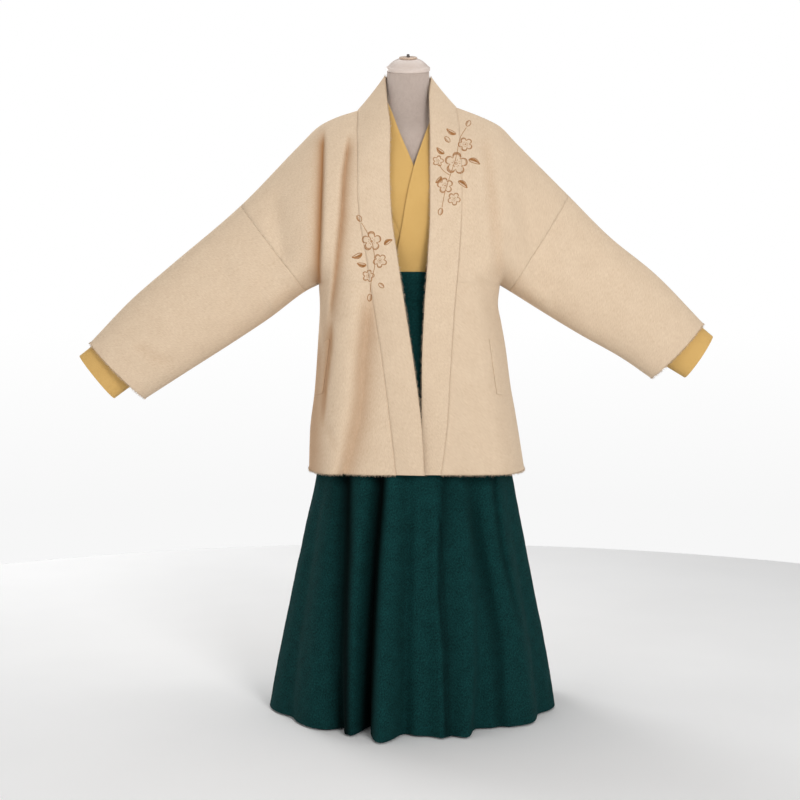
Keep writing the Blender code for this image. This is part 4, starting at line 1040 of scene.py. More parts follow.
@dataclass
class Coat:
    """The open wool coat with its band collar and pocket welts."""

    wall: float = 3.0 * MM
    underarm: dict = field(default_factory=lambda: {
        Side.RIGHT: [(0.200, 0.948), (0.228, 0.934), (0.309, 0.874), (0.381, 0.826), (0.502, 0.749),
                     (0.591, 0.692)],
        Side.LEFT: [(0.206, 0.946), (0.226, 0.934), (0.311, 0.881), (0.386, 0.836), (0.479, 0.784),
                    (0.547, 0.7375)]})
    side_seam: dict = field(default_factory=lambda: {
        Side.RIGHT: [(0.200, 0.948), (0.198, 0.900), (0.202, 0.825), (0.210, 0.712), (0.221, 0.619),
                     (0.2235, HEM_Z)],
        Side.LEFT: [(0.206, 0.946), (0.202, 0.905), (0.2095, 0.862), (0.2195, 0.806),
                    (0.231, 0.720), (0.2425, 0.657), (0.262, HEM_Z)]})
    band: dict = field(default_factory=lambda: {  # seam x, seam z, edge x, edge z, edge depth
        Side.RIGHT: [(0.112, 1.335, 0.0515, 1.411, 0.000), (0.112, 1.285, 0.046, 1.348, 0.049),
                     (0.110, 1.221, 0.039, 1.279, 0.088), (0.1095, 1.153, 0.040, 1.190, 0.116),
                     (0.106, 1.097, 0.0375, 1.110, 0.130), (0.091, 1.005, 0.023, 1.000, 0.140),
                     (0.076, 0.904, 0.008, 0.900, 0.147), (0.055, 0.772, -0.012, 0.770, 0.160),
                     (0.037, 0.631, -0.029, 0.630, 0.179), (0.026, HEM_Z, -0.0345, HEM_Z, 0.196)],
        Side.LEFT: [(0.107, 1.342, 0.0515, 1.408, 0.000), (0.1115, 1.285, 0.046, 1.354, 0.049),
                    (0.114, 1.222, 0.047, 1.280, 0.088), (0.115, 1.153, 0.0465, 1.190, 0.116),
                    (0.114, 1.097, 0.0465, 1.110, 0.130), (0.109, 1.005, 0.0415, 1.000, 0.139),
                    (0.100, 0.904, 0.0345, 0.900, 0.145), (0.091, 0.773, 0.029, 0.770, 0.153),
                    (0.082, 0.633, 0.028, 0.630, 0.167), (0.069, HEM_Z, 0.0075, HEM_Z, 0.181)]})
    # A fold's sixth number, where it has one, is the painted shade down it.
    folds_right: tuple[Fold, ...] = (
        Fold(((0.186, 1.300), (0.1865, 1.170), (0.1905, 1.041), (0.196, 0.945)), 0.018, 0.0045, 3.2,
             (0.15, 0.02), 1.0, 1.35),
        Fold(((0.127, 1.285), (0.1395, 1.177), (0.144, 1.090), (0.154, 0.996), (0.166, 0.910),
              (0.173, 0.830)),
             0.014, 0.014, 0.35, (0.12, 0.2), 0.72, 1.3),
        Fold(((0.082, 0.960), (0.093, 0.840), (0.099, 0.782), (0.1025, 0.718), (0.110, 0.654),
              (0.123, 0.600), (0.138, HEM_Z)), 0.032, 0.028, 0.5, (0.25, 0.0), 0.36, 1.35),
        Fold(((0.164, 0.900), (0.1685, 0.803), (0.181, 0.697), (0.190, 0.600)), 0.012, 0.005, 3.6,
             (0.25, 0.3), 0.8, 1.3),
        # Painted shade only, down the right flank: this fold has no depth.
        Fold(((0.204, 0.860), (0.206, 0.740), (0.214, HEM_Z)), 0.0, 0.026, 1.0, (0.25, 0.0), 0.62),
        Fold(((0.205, 0.690), (0.178, 0.640), (0.150, 0.575)), 0.006, 0.009, 1.0, (0.2, 0.3), 0.15,
             1.4))
    folds_left: tuple[Fold, ...] = (
        Fold(((0.165, 1.285), (0.178, 1.153), (0.189, 1.043), (0.198, 0.950)), 0.008, 0.013, 1.0,
             (0.2, 0.1), 0.12),
        Fold(((0.118, 1.290), (0.127, 1.151), (0.138, 1.068), (0.156, 0.971), (0.190, 0.900)),
             0.005, 0.014, 1.4, (0.15, 0.2)),
        Fold(((0.120, 0.900), (0.129, 0.741), (0.152, 0.633), (0.170, HEM_Z)), 0.006, 0.018, 1.3,
             (0.3, 0.0)),
        Fold(((0.092, 0.860), (0.095, 0.696), (0.098, HEM_Z)), 0.003, 0.016, 1.0, (0.3, 0.0)),
        Fold(((0.205, 0.800), (0.222, 0.570)), 0.005, 0.018, 1.0))
    folds_back: tuple[Fold, ...] = (
        Fold(((0.150, 1.260), (0.185, 0.960)), 0.012, 0.018),
        Fold(((0.070, 1.020), (0.083, 0.780), (0.098, HEM_Z)), 0.011, 0.022, 1.0, (0.35, 0.0)),
        Fold(((0.148, 0.900), (0.160, 0.700), (0.172, HEM_Z)), 0.009, 0.018, 1.0, (0.35, 0.0)),
        Fold(((0.010, 0.820), (0.020, HEM_Z)), 0.006, 0.020, 1.0, (0.5, 0.0)))
    sleeve_right: tuple[Fold, ...] = (
        Fold(((0.300, 1.170), (0.262, 0.960)), 0.007, 0.020),
        Fold(((0.611, 0.819), (0.560, 0.788), (0.514, 0.764)), 0.005, 0.016, 1.0, (0.3, 0.3), 0.10),
        Fold(((0.430, 1.050), (0.360, 0.860)), 0.003, 0.022))
    sleeve_left: tuple[Fold, ...] = (
        Fold(((0.240, 1.170), (0.258, 1.073), (0.274, 0.999), (0.303, 0.905)), 0.008, 0.017, 1.4),
        Fold(((0.400, 1.065), (0.511, 0.934)), -0.004, 0.024),
        Fold(((0.470, 0.990), (0.420, 0.830)), 0.003, 0.022))
    band_proud: float = 0.9 * MM       # the folded band lies this much above the fronts
    welt_cells: tuple[int, int] = (26, 8)            # along and across
    welt_place: tuple[float, float] = (0.170, 0.826)     # x and z of its upper inner corner
    welt_along: tuple[float, float] = (0.016, -0.118)    # x and z from there to its lower end
    welt_across: tuple[float, float] = (0.014, -0.004)
    welt_shift: dict = field(default_factory=lambda: {Side.RIGHT: 0.0, Side.LEFT: 0.004})
    welt_wall: float = 1.5 * MM
    welt_gap: float = 0.4 * MM

    def shape(self) -> Garment:
        """Build the coat's shape.

        Returns:
            The garment with its folds.
        """
        folds = {(Side.RIGHT, Face.FRONT): [*self.folds_right, *self.sleeve_right],
                 (Side.LEFT, Face.FRONT): [*self.folds_left, *self.sleeve_left],
                 (Side.RIGHT, Face.BACK): [*self.folds_back, *self.sleeve_right],
                 (Side.LEFT, Face.BACK): [*self.folds_back, *self.sleeve_left]}
        return Garment(
            top=COAT_TOP, underarm=self.underarm, side_seam=self.side_seam,
            shoulder={Side.RIGHT: 0.197, Side.LEFT: 0.206},
            drop={Side.RIGHT: (0.374, 0.228), Side.LEFT: (0.359, 0.226)}, band=self.band,
            neck=NeckLine(0.088, 0.055, 0.006),
            body_depth={Face.FRONT: [(0.53, 0.186), (0.63, 0.170), (0.77, 0.155), (0.90, 0.142),
                                     (1.00, 0.136), (1.10, 0.131), (1.15, 0.128), (1.25, 0.118),
                                     (1.36, 0.105)],
                        Face.BACK: [(0.53, 0.192), (0.65, 0.172), (0.77, 0.152), (0.90, 0.132),
                                    (1.00, 0.122), (1.15, 0.120), (1.25, 0.116), (1.36, 0.104)]},
            sleeve_depth=[(0.20, 0.096), (0.30, 0.080), (0.374, 0.070), (0.52, 0.058),
                          (0.72, 0.047)],
            top_reach=[(0.10, 0.19), (0.22, 0.15), (0.37, 0.118), (0.72, 0.086)],
            low_reach=[(0.10, 0.090), (0.22, 0.090), (0.37, 0.118), (0.72, 0.086)],
            mix_start=0.15, follow_z=0.0, density=Density(14, 20, 72, 72, 68, 24, 14),
            crown=1.5 * MM, sag={Side.RIGHT: 4.0 * MM, Side.LEFT: 0.0}, waves=(1.3 * MM, 0.17),
            folds=folds)

    def build(self, finish: Material) -> tuple[dict[str, Object], dict[str, Grid], Garment]:
        """Build all the pieces of the coat but its welts.

        Args:
            finish: the coat's cloth.

        Returns:
            The pieces and their grids by node, and the shape.
        """
        shape = self.shape()
        grids = shape.pieces("coat")
        seams = sewn(grids)
        grids["coat_collar"].points += seams["coat_collar"].normal * self.band_proud
        made = {node: wall_mesh(f"{node}_wool", grid, seams[node], self.wall, finish)
                for node, grid in grids.items()}
        return made, grids, shape

    def welts(self, shape: Garment, finish: Material) -> None:
        """Build a slanting pocket welt on each front.

        Args:
            shape: the coat's shape, whose surface carries them.
            finish: the coat's cloth.
        """
        long, wide = self.welt_cells
        along = np.linspace(0, 1, long + 1)[:, None]
        over = np.linspace(0, 1, wide + 1)[None, :]
        x, z = (self.welt_place[k] + self.welt_along[k] * along + self.welt_across[k] * over
                for k in (0, 1))
        for side in Side:
            word = side.name.lower()
            base = shape.surface(side, Face.FRONT, x + self.welt_shift[side], z)
            grid = Grid(base, np.ones((long, wide), bool)).faced_out()
            seams = sewn({"welt": grid})["welt"]
            raised = grid.points + seams.normal * (self.welt_gap + self.welt_wall)
            # The welts take the painted fold shade of the fronts at their place.
            welt = Grid(raised, grid.live, painted_shade=shape.painted_fold_shade(raised))
            dressing = Dressing(f"coat_pocket_welt_{word}", "camel_wool", Held.DRAPED,
                                (f"coat_front_{word}",), "wool")
            declare(wall_mesh(dressing.name, welt, seams, self.welt_wall, finish), welt, dressing)


@dataclass
class Shirt:
    """The mustard shirt with its crossed band collar, tucked into the skirt."""

    wall: float = 1.2 * MM
    shoulder_inset: float = 4.1 * MM
    sleeve_inset: float = 8.0 * MM
    tuck_z: float = 0.915
    under_layer: float = 5.0 * MM      # the right front lies this much under the left one
    band_shadow: Fold = Fold(((0.050, 1.30), (0.044, 1.19), (0.042, 1.11), (0.039, 1.00),
                              (0.035, 0.93)),
                             0.0, 0.023, 1.5, (0.75, 0.0), 0.9)      # under the coat's band

    def shape(self) -> Garment:
        """Build the shirt's shape from the coat's outline and its own tables.

        Returns:
            The garment.
        """
        cuff = {Side.RIGHT: (0.739, 0.788), Side.LEFT: (0.685, 0.832)}
        tuck = self.tuck_z
        band = {
            Side.RIGHT: [(0.104, 1.326, 0.064, 1.372, 0.000), (0.104, 1.290, 0.046, 1.347, 0.043),
                         (0.092, 1.225, 0.018, 1.274, 0.080), (0.062, 1.150, -0.012, 1.200, 0.103),
                         (0.034, 1.090, -0.036, 1.125, 0.112), (0.012, 1.030, -0.056, 1.040, 0.110),
                         (0.000, 0.970, -0.064, 0.972, 0.1012),
                         (0.000, tuck, -0.064, tuck, 0.1008)],
            Side.LEFT: [(0.100, 1.330, 0.064, 1.368, 0.000), (0.106, 1.270, 0.050, 1.312, 0.056),
                        (0.090, 1.190, 0.030, 1.254, 0.088), (0.074, 1.140, 0.012, 1.200, 0.107),
                        (0.056, 1.080, -0.003, 1.137, 0.1165), (0.046, 1.020, -0.016, 1.061, 0.117),
                        (0.036, 0.970, -0.030, 0.990, 0.1075), (0.030, tuck, -0.040, tuck, 0.1035)]}
        top = {}
        for side in Side:
            outline = COAT_TOP[side]
            line = inset(outline, self.shoulder_inset)[:3] + inset(outline, self.sleeve_inset)[3:]
            top[side] = [(band[side][0][0], band[side][0][1])] + line[1:] + [cuff[side]]
        side_line = [(0.166, 1.060), (0.140, 1.020), (0.1225, 0.985), (0.1205, 0.960),
                     (0.1205, tuck)]
        return Garment(
            top=top,
            underarm={Side.RIGHT: [(0.166, 1.060), (0.186, 1.042), (0.400, 0.884), (0.6615, 0.692)],
                      Side.LEFT: [(0.166, 1.060), (0.186, 1.042), (0.400, 0.876), (0.623, 0.7385)]},
            side_seam={side: side_line for side in Side}, shoulder={side: 0.170 for side in Side},
            drop={side: (0.300, 0.186) for side in Side}, band=band,
            neck=NeckLine(0.079, 0.062, 0.004),
            body_depth={Face.FRONT: [(0.91, 0.1045), (0.975, 0.1045), (1.02, 0.114), (1.07, 0.118),
                                     (1.14, 0.118), (1.22, 0.106), (1.34, 0.092)],
                        Face.BACK: [(0.91, 0.0750), (0.975, 0.0750), (1.04, 0.088), (1.15, 0.106),
                                    (1.25, 0.103), (1.34, 0.090)]},
            sleeve_depth=[(0.17, 0.085), (0.28, 0.064), (0.37, 0.052), (0.52, 0.040),
                          (0.75, 0.029)],
            top_reach=[(0.10, 0.19), (0.20, 0.12), (0.30, 0.085), (0.74, 0.060)],
            low_reach=[(0.10, 0.1205), (0.20, 0.110), (0.30, 0.085), (0.74, 0.060)],
            mix_start=0.10, follow_z=1.20, density=Density(8, 6, 48, 36, 20, 20, 12), crown=0.0,
            sag={side: 0.0 for side in Side}, waves=(0.25 * MM, 0.09),
            under_layer={Side.RIGHT: self.under_layer},
            folds={(Side.LEFT, Face.FRONT): [self.band_shadow]})

    def build(self, finish: Material) -> None:
        """Build the shirt's pieces from its cloth and hide the CAD parts that they replace."""
        hang(self.shape().pieces("shirt"), self.wall, finish, "mustard_cotton", "cotton",
             "form_torso")


@dataclass
class Skirt:
    """The long flared wool skirt of four gores, with its waistband and sash."""

    wall: float = 2.0 * MM
    sections: tuple = (        # z, half width right, left, depth in front, behind
        (0.9115, 0.1245, 0.1245, 0.1085, 0.079), (0.860, 0.146, 0.148, 0.122, 0.105),
        (0.790, 0.166, 0.170, 0.134, 0.128), (0.680, 0.183, 0.196, 0.146, 0.146),
        (0.540, 0.202, 0.229, 0.163, 0.170), (0.400, 0.231, 0.256, 0.195, 0.200),
        (0.250, 0.263, 0.284, 0.235, 0.236), (0.120, 0.289, 0.310, 0.268, 0.264),
        (0.004, 0.310, 0.328, 0.286, 0.286))
    folds: tuple = (           # angle at the coat hem, angle at the skirt hem, rise, half width
        (-84, -80, 0.004, 7), (-70, -62, -0.014, 7), (-55, -42, 0.008, 7),
        (-46, -29.5, -0.016, 3.4), (-33, -24, 0.032, 3.2), (-23, -18.6, -0.046, 2.4),
        (-12, -10, 0.054, 5.4), (-0.5, -2.5, -0.016, 3.6), (16, 14.0, 0.026, 3.6),
        (26, 17.4, -0.006, 1.8), (37, 22, 0.030, 4.2), (49, 33, -0.024, 6.0), (61, 54, 0.013, 6.5),
        (74, 68, -0.012, 5.5), (86, 82, 0.006, 6), (104, 102, -0.026, 6), (118, 117, 0.024, 7),
        (131, 131, -0.030, 5), (143, 144, 0.030, 7), (156, 157, -0.034, 5), (169, 170, 0.032, 7),
        (183, 184, -0.032, 5), (196, 197, 0.034, 7), (211, 211, -0.030, 5), (226, 225, 0.026, 7),
        (240, 239, -0.024, 5), (256, 257, 0.012, 6))
    pressed: tuple[Fold, ...] = (      # folds of the front view, x in the wearer's frame, with painted shade down them
        Fold(((-0.128, 0.66), (-0.1295, 0.482), (-0.1285, 0.379), (-0.1315, 0.278),
              (-0.1315, 0.176), (-0.130, 0.004)), 0.018, 0.028, 0.3, (0.2, 0.0), 0.95, 1.6),
        Fold(((-0.048, 0.66), (-0.0565, 0.482), (-0.0645, 0.379), (-0.070, 0.278), (-0.074, 0.176),
              (-0.081, 0.004)), 0.024, 0.020, 0.3, (0.2, 0.0), 1.0, 1.8),
        Fold(((0.077, 0.66), (0.0725, 0.482), (0.0655, 0.379), (0.0645, 0.278), (0.0744, 0.176),
              (0.077, 0.004)), 0.010, 0.004, 5.0, (0.2, 0.0), 0.55, 1.4),
        Fold(((0.128, 0.62), (0.135, 0.482), (0.151, 0.379), (0.172, 0.278), (0.1895, 0.176),
              (0.196, 0.004)),
             0.012, 0.014, 1.0, (0.3, 0.0), 0.4),
        Fold(((0.180, 0.62), (0.190, 0.482), (0.2014, 0.379), (0.2244, 0.278), (0.255, 0.150)),
             0.007, 0.007, 1.0, (0.2, 0.4), 0.4),
        Fold(((0.000, 0.60), (-0.002, 0.379), (-0.010, 0.250), (-0.006, 0.004)), 0.007, 0.014, 1.0,
             (0.4, 0.0), 0.2))
    folds_start_z: float = 0.80
    fine: float = 0.75         # degrees between ribs in front
    coarse: float = 1.5        # and behind
    fine_to: float = 76.5
    seams: tuple = (-90, 15.75, 94.5, 180)       # angles of the gore seams at the hem
    levels: int = 84
    waist_facets: int = 216
    swing_z: float = 0.5       # above here the folds stand at their places of the coat's hem
    open_power: float = 1.35   # how the folds open towards the hem
    soft: tuple[float, float] = (0.9 * MM, 0.11)     # height and length of the soft unevenness
    soft_from_z: float = 0.90  # it fades in below here

    def point_angles(self, hem_angle: Array, z: float) -> Array:
        """Angles of the ribs at a level: they swing towards their places at the hem."""
        high = np.array([fold[0] for fold in self.folds], float)
        low = np.array([fold[1] for fold in self.folds], float)
        high = np.concatenate([high[-1:] - 360, high, high[:1] + 360])
        low = np.concatenate([low[-1:] - 360, low, low[:1] + 360])
        wrapped = np.where(hem_angle > self.folds[-1][1], hem_angle - 360, hem_angle)
        swing = smooth(wrapped, low, high) - wrapped
        return np.radians(hem_angle + swing * np.clip(z / self.swing_z, 0, 1))

    def ring(self, angles: Array, z: float) -> Array:
        """Points of the skirt at one level.

        Args:
            angles: the ribs' angles at the hem, in degrees.
            z: height of the level.

        Returns:
            One point for each rib.
        """
        turn = self.point_angles(angles, z)
        right, left, front, back = (curve(z, self.sections, 0, k) for k in (1, 2, 3, 4))
        wide = np.where(np.sin(turn) < 0, right, left)
        deep = np.where(np.cos(turn) > 0, front, back)
        radius = 1 / np.sqrt((np.sin(turn) / wide) ** 2 + (np.cos(turn) / deep) ** 2)
        opened = np.clip((self.folds_start_z - z) / self.folds_start_z, 0, 1) ** self.open_power
        for _, place, rise, width in self.folds:
            off = (angles - place + 180) % 360 - 180
            radius = radius + rise * opened * np.exp(-(off / width) ** 2)
        mean_radius, phase = 0.25, 0.8
        soft = unevenness(np.radians(angles) * mean_radius, np.full(len(angles), z), self.soft[1],
                          phase)
        radius = radius + self.soft[0] * soft * np.clip((self.soft_from_z - z) / 0.1, 0, 1)
        return np.stack([radius * np.sin(turn), -radius * np.cos(turn), np.full(len(turn), z)],
                        axis=1)

    def build_gores(self, finish: Material) -> None:
        """Build the four gores from the skirt's cloth."""
        front = np.arange(-self.fine_to, self.fine_to, self.fine)
        angles = np.concatenate([front, np.arange(self.fine_to, 360 - self.fine_to - 0.01,
                                                  self.coarse)])
        top, low = self.sections[0][0], self.sections[-1][0]
        points = np.stack([self.ring(angles, z) for z in np.linspace(top, low, self.levels + 1)])
        ahead = np.clip(-points[..., 1] / 0.05, 0, 1)
        shares = [fold.share(points[..., 0], points[..., 2]) * ahead for fold in self.pressed]
        points[..., 1] += sum(fold.depth * share for fold, share in zip(self.pressed, shares))
        # Painted shade down the pressed folds, for the gores' colour.
        painted_shade = np.max([fold.painted_shade * share for fold, share in zip(self.pressed, shares)], axis=0)
        starts = [int(np.argmin(np.abs((angles - seam + 180) % 360 - 180))) for seam in self.seams]
        grids = {}
        names = ("front_right", "front_left", "back_left", "back_right")
        for k, name in enumerate(names):
            start, stop = starts[k], starts[(k + 1) % 4]
            stop += len(angles) if stop <= start else 0
            pick = np.arange(start, stop + 1) % len(angles)
            grids[f"skirt_gore_{name}"] = Grid(points[:, pick],
                                               np.ones((self.levels, len(pick) - 1), bool),
                                               painted_shade=painted_shade[:, pick]).faced_out()
        hang(grids, self.wall, finish, "green_wool", "wool", "skirt_waistband")

    def waist_oval(self, z: float, grow: Array | float) -> Array:
        """Ring round the waist, grown outwards from the top of the skirt."""
        turn = around(self.waist_facets)
        _, right, left, front, back = self.sections[0]
        x, y = np.sin(turn), -np.cos(turn)
        return np.stack([x * (np.where(x < 0, right, left) + grow),
                         y * (np.where(y < 0, front, back) + grow),
                         np.full(len(turn), float(z))], axis=1)

    def build_waist(self, finish: Material) -> None:
        """Build the waistband and the wrinkled sash wound over it from the skirt's cloth."""
        turn = around(self.waist_facets)
        # node, what carries it, low and high z, rows, wall, how far it stands out, its wrinkles
        bands = (
            ("skirt_waistband", "form_torso", 0.9120, 0.9720, 12, self.wall, 0.0006, 0.0),
            ("skirt_sash", "skirt_waistband", 0.9102, 0.9435, 20, 1.1 * MM, 0.0020, 2.6 * MM))
        for node, rests_on, low, high, rows, wall, grow, ripple in bands:
            rings = []
            for share in np.linspace(0, 1, rows + 1):
                folds = 0.5 + 0.5 * np.sin(7 * turn + 9.0 * share + 0.8 * np.sin(3 * turn))
                ridges = 0.35 + 0.65 * np.sin(np.pi * (2.6 * share + 0.12 * np.sin(4 * turn))) ** 2
                swell_out = ripple * folds * ridges * math.sin(math.pi * share) ** 0.6
                rings.append(self.waist_oval(low + (high - low) * share, grow + swell_out))
            points = np.stack(rings, axis=1)
            grid = Grid(points, np.ones((len(turn), rows), bool), wrap=True).faced_out()
            hang({node: grid}, wall, finish, "green_wool", "wool", rests_on)


@dataclass
class DressForm:
    """The limbless form: covered torso and neck, cap, disc, nub, pole and base plate."""

    sections: tuple = (        # z, half width, front depth, back depth
        (0.680, 0.152, 0.104, 0.112), (0.790, 0.157, 0.118, 0.116), (0.845, 0.136, 0.108, 0.096),
        (0.895, 0.113, 0.094, 0.066), (0.940, 0.111, 0.092, 0.064), (0.985, 0.112, 0.093, 0.066),
        (1.040, 0.124, 0.102, 0.078), (1.110, 0.146, 0.106, 0.092), (1.180, 0.168, 0.098, 0.096),
        (1.235, 0.180, 0.082, 0.088), (1.270, 0.178, 0.069, 0.074), (1.290, 0.162, 0.056, 0.050),
        (1.3074, 0.122, 0.048, 0.043), (1.322, 0.078, 0.045, 0.044), (1.345, 0.059, 0.044, 0.045),
        (1.372, 0.0495, 0.044, 0.045), (1.4225, 0.0468, 0.0455, 0.0455))
    clear: float = 9.5 * MM    # the form stays this far inside the shirt
    facets: int = 96
    tilt: float = math.radians(18)     # the cut of the neck drops towards the front
    rest_gap: float = 0.3 * MM
    seam_depth: float = 0.8 * MM
    seam_turn: float = 0.035   # half width of a cover's seam, as an angle
    levels: tuple = ((0.680, 1.26, 60), (1.265, 1.4225, 44))    # low z, high z, rings
    inside_shirt: tuple[float, float] = (0.97, 1.31)     # heights where the shirt is round it
    tilt_from_z: float = 1.345

    def oval(self, z: float, half: float, front: float, back: float) -> Array:
        """Ring of quarter ellipses that meet on the side and middle lines, with a seam on each."""
        turn = around(self.facets)
        groove = sum(np.exp(-(((turn - at + np.pi) % (2 * np.pi) - np.pi) / self.seam_turn) ** 2)
                     for at in (0.0, np.pi, np.pi / 2, -np.pi / 2))
        x, y = np.sin(turn), -np.cos(turn)
        ring = np.stack([x * half, y * np.where(y < 0, front, back),
                         np.full(self.facets, float(z))], axis=1)
        return ring - np.stack([x, y, 0 * x], axis=1) * (self.seam_depth * groove)[:, None]

    def build_torso(self, shirt: Garment, finish: Material) -> None:
        """Build the covered torso and neck.

        Args:
            shirt: shape that the torso stays inside.
            finish: its cover.
        """
        rings = []
        for z in np.concatenate([np.linspace(*level) for level in self.levels]):
            ring = self.oval(z, *(float(curve(z, self.sections, 0, k)) for k in (1, 2, 3)))
            if self.inside_shirt[0] < z < self.inside_shirt[1]:
                for side in Side:
                    for face in Face:
                        mine = (ring[:, 0] * side > 1e-6) & (ring[:, 1] * face > 1e-6)
                        room = shirt.depth(side, face, np.abs(ring[mine, 0]),
                                           np.full(mine.sum(), z))
                        limit = np.maximum(room - self.clear, 0.2 * np.abs(ring[mine, 1]))
                        ring[mine, 1] = face * np.minimum(np.abs(ring[mine, 1]), limit)
            lean = np.clip((z - self.tilt_from_z) / (self.sections[-1][0] - self.tilt_from_z), 0, 1)
            ring[:, 2] += ring[:, 1] * math.tan(self.tilt) * lean
            rings.append(ring)
        self.stand_for("form_torso", self.stack("form_torso_cover", rings, finish))

    def stand_for(self, node: str, piece: Object) -> None:
        """Hide the CAD part that a piece stands for."""
        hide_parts(node)

    def stack(self, name: str, rings: list[Array], finish: Material) -> Object:
        """Build the solid between rings, with a fanned cap at each end.

        Args:
            name: name of the object.
            rings: rings of as many points each, from low to high.
            finish: material of the solid.

        Returns:
            The solid, with metres round and up as its UVs.
        """
        count = len(rings[0])
        middles = [ring.mean(axis=0) for ring in rings]
        radii = [np.linalg.norm(ring - middle, axis=1).mean()
                 for ring, middle in zip(rings, middles)]
        vertices = np.concatenate([*rings, [middles[0]], [middles[-1]]])
        girth = rings[len(rings) // 2]
        steps = np.linalg.norm(np.diff(np.concatenate([girth, girth[:1]]), axis=0), axis=1)
        u = np.concatenate([[0], np.cumsum(steps)])
        rise = [np.linalg.norm(middles[k + 1] - middles[k]) + np.abs(radii[k + 1] - radii[k])
                for k in range(len(rings) - 1)]
        v = np.concatenate([[0], np.cumsum(rise)])
        faces, uv = [], []
        last = (len(rings) - 1) * count
        for k in range(count):
            n = (k + 1) % count
            for ring in range(len(rings) - 1):
                a, b = ring * count, (ring + 1) * count
                faces.append((a + k, a + n, b + n, b + k))
                uv += [(u[k], v[ring]), (u[k + 1], v[ring]), (u[k + 1], v[ring + 1]),
                       (u[k], v[ring + 1])]
            for fan in ((len(vertices) - 2, n, k), (len(vertices) - 1, last + k, last + n)):
                faces.append(fan)
                uv += [tuple(vertices[point][:2]) for point in fan]
        return mesh_object(name, vertices, faces, finish, np.array(uv))

    def tilted(self, radius: float, high: float) -> Array:
        """Ring on the tilted cut of the neck."""
        turn = around(self.facets)
        x, y = radius * np.sin(turn), -radius * np.cos(turn)
        base = self.sections[-1][0] + self.rest_gap
        return np.stack([x, y * math.cos(self.tilt) - high * math.sin(self.tilt),
                         base + y * math.sin(self.tilt) + high * math.cos(self.tilt)], axis=1)

    def build_top(self) -> None:
        """Build the cap, the wooden disc and the nub, turned from profiles of radius and height."""
        cap = ((0.0480, 0.0), (0.0489, 0.0005), (0.0492, 0.0015), (0.0492, 0.0060),
               (0.0488, 0.0072), (0.0478, 0.0080), (0.0462, 0.0092), (0.0452, 0.0098),
               (0.0440, 0.0110), (0.0400, 0.0150), (0.0340, 0.0200), (0.0280, 0.0235),
               (0.0235, 0.0254), (0.0210, 0.0260))
        disc = ((0.0190, 0.0), (0.0197, 0.0003), (0.0200, 0.0010), (0.0200, 0.0026),
                (0.0196, 0.0032), (0.0186, 0.0035), (0.0120, 0.0035))
        nub = ((0.0038, 0.0), (0.0040, 0.0004), (0.0040, 0.0012), (0.0034, 0.0020),
               (0.0032, 0.0046), (0.0028, 0.0056), (0.0018, 0.0060))
        low = 0.0
        for node, profile, finish, slot in (("form_neck_cap", cap, CAP_PLASTIC, "cap_plastic"),
                                            ("form_cap_disc", disc, CAP_BEECH, "cap_wood"),
                                            ("form_cap_nub", nub, NUB_PLASTIC, "cap_nub")):
            rings = [self.tilted(radius, low + height) for radius, height in profile]
            self.stand_for(node, self.stack(f"{node}_turned", rings, finish.build()))
            low = low + profile[-1][1] + self.rest_gap

    def build_stand(self) -> None:
        """Build the pole and the round base plate, from profiles of radius and height."""
        steel = BRUSHED_STEEL.build()
        base_high, pole_radius = 0.012, 0.0125
        plate = ((0.1385, 0.0), (0.1400, 0.0006), (0.1400, 0.0090), (0.1391, 0.0111),
                 (0.1370, base_high), (0.0600, base_high))
        pole_low, pole_top = base_high + self.rest_gap, self.sections[0][0] - self.rest_gap
        edge = 0.0008          # bevel of the pole's ends
        pole = ((pole_radius - edge, pole_low), (pole_radius, pole_low + edge), (pole_radius, 0.3),
                (pole_radius, pole_top - edge), (pole_radius - edge, pole_top))
        turn = around(self.facets)
        for node, profile in (("form_base", plate), ("form_pole", pole)):
            rings = [np.stack([r * np.sin(turn), -r * np.cos(turn), np.full(self.facets, h)],
                              axis=1)
                     for r, h in profile]
            self.stand_for(node, self.stack(f"{node}_brushed", rings, steel))


# Embroidery and nap

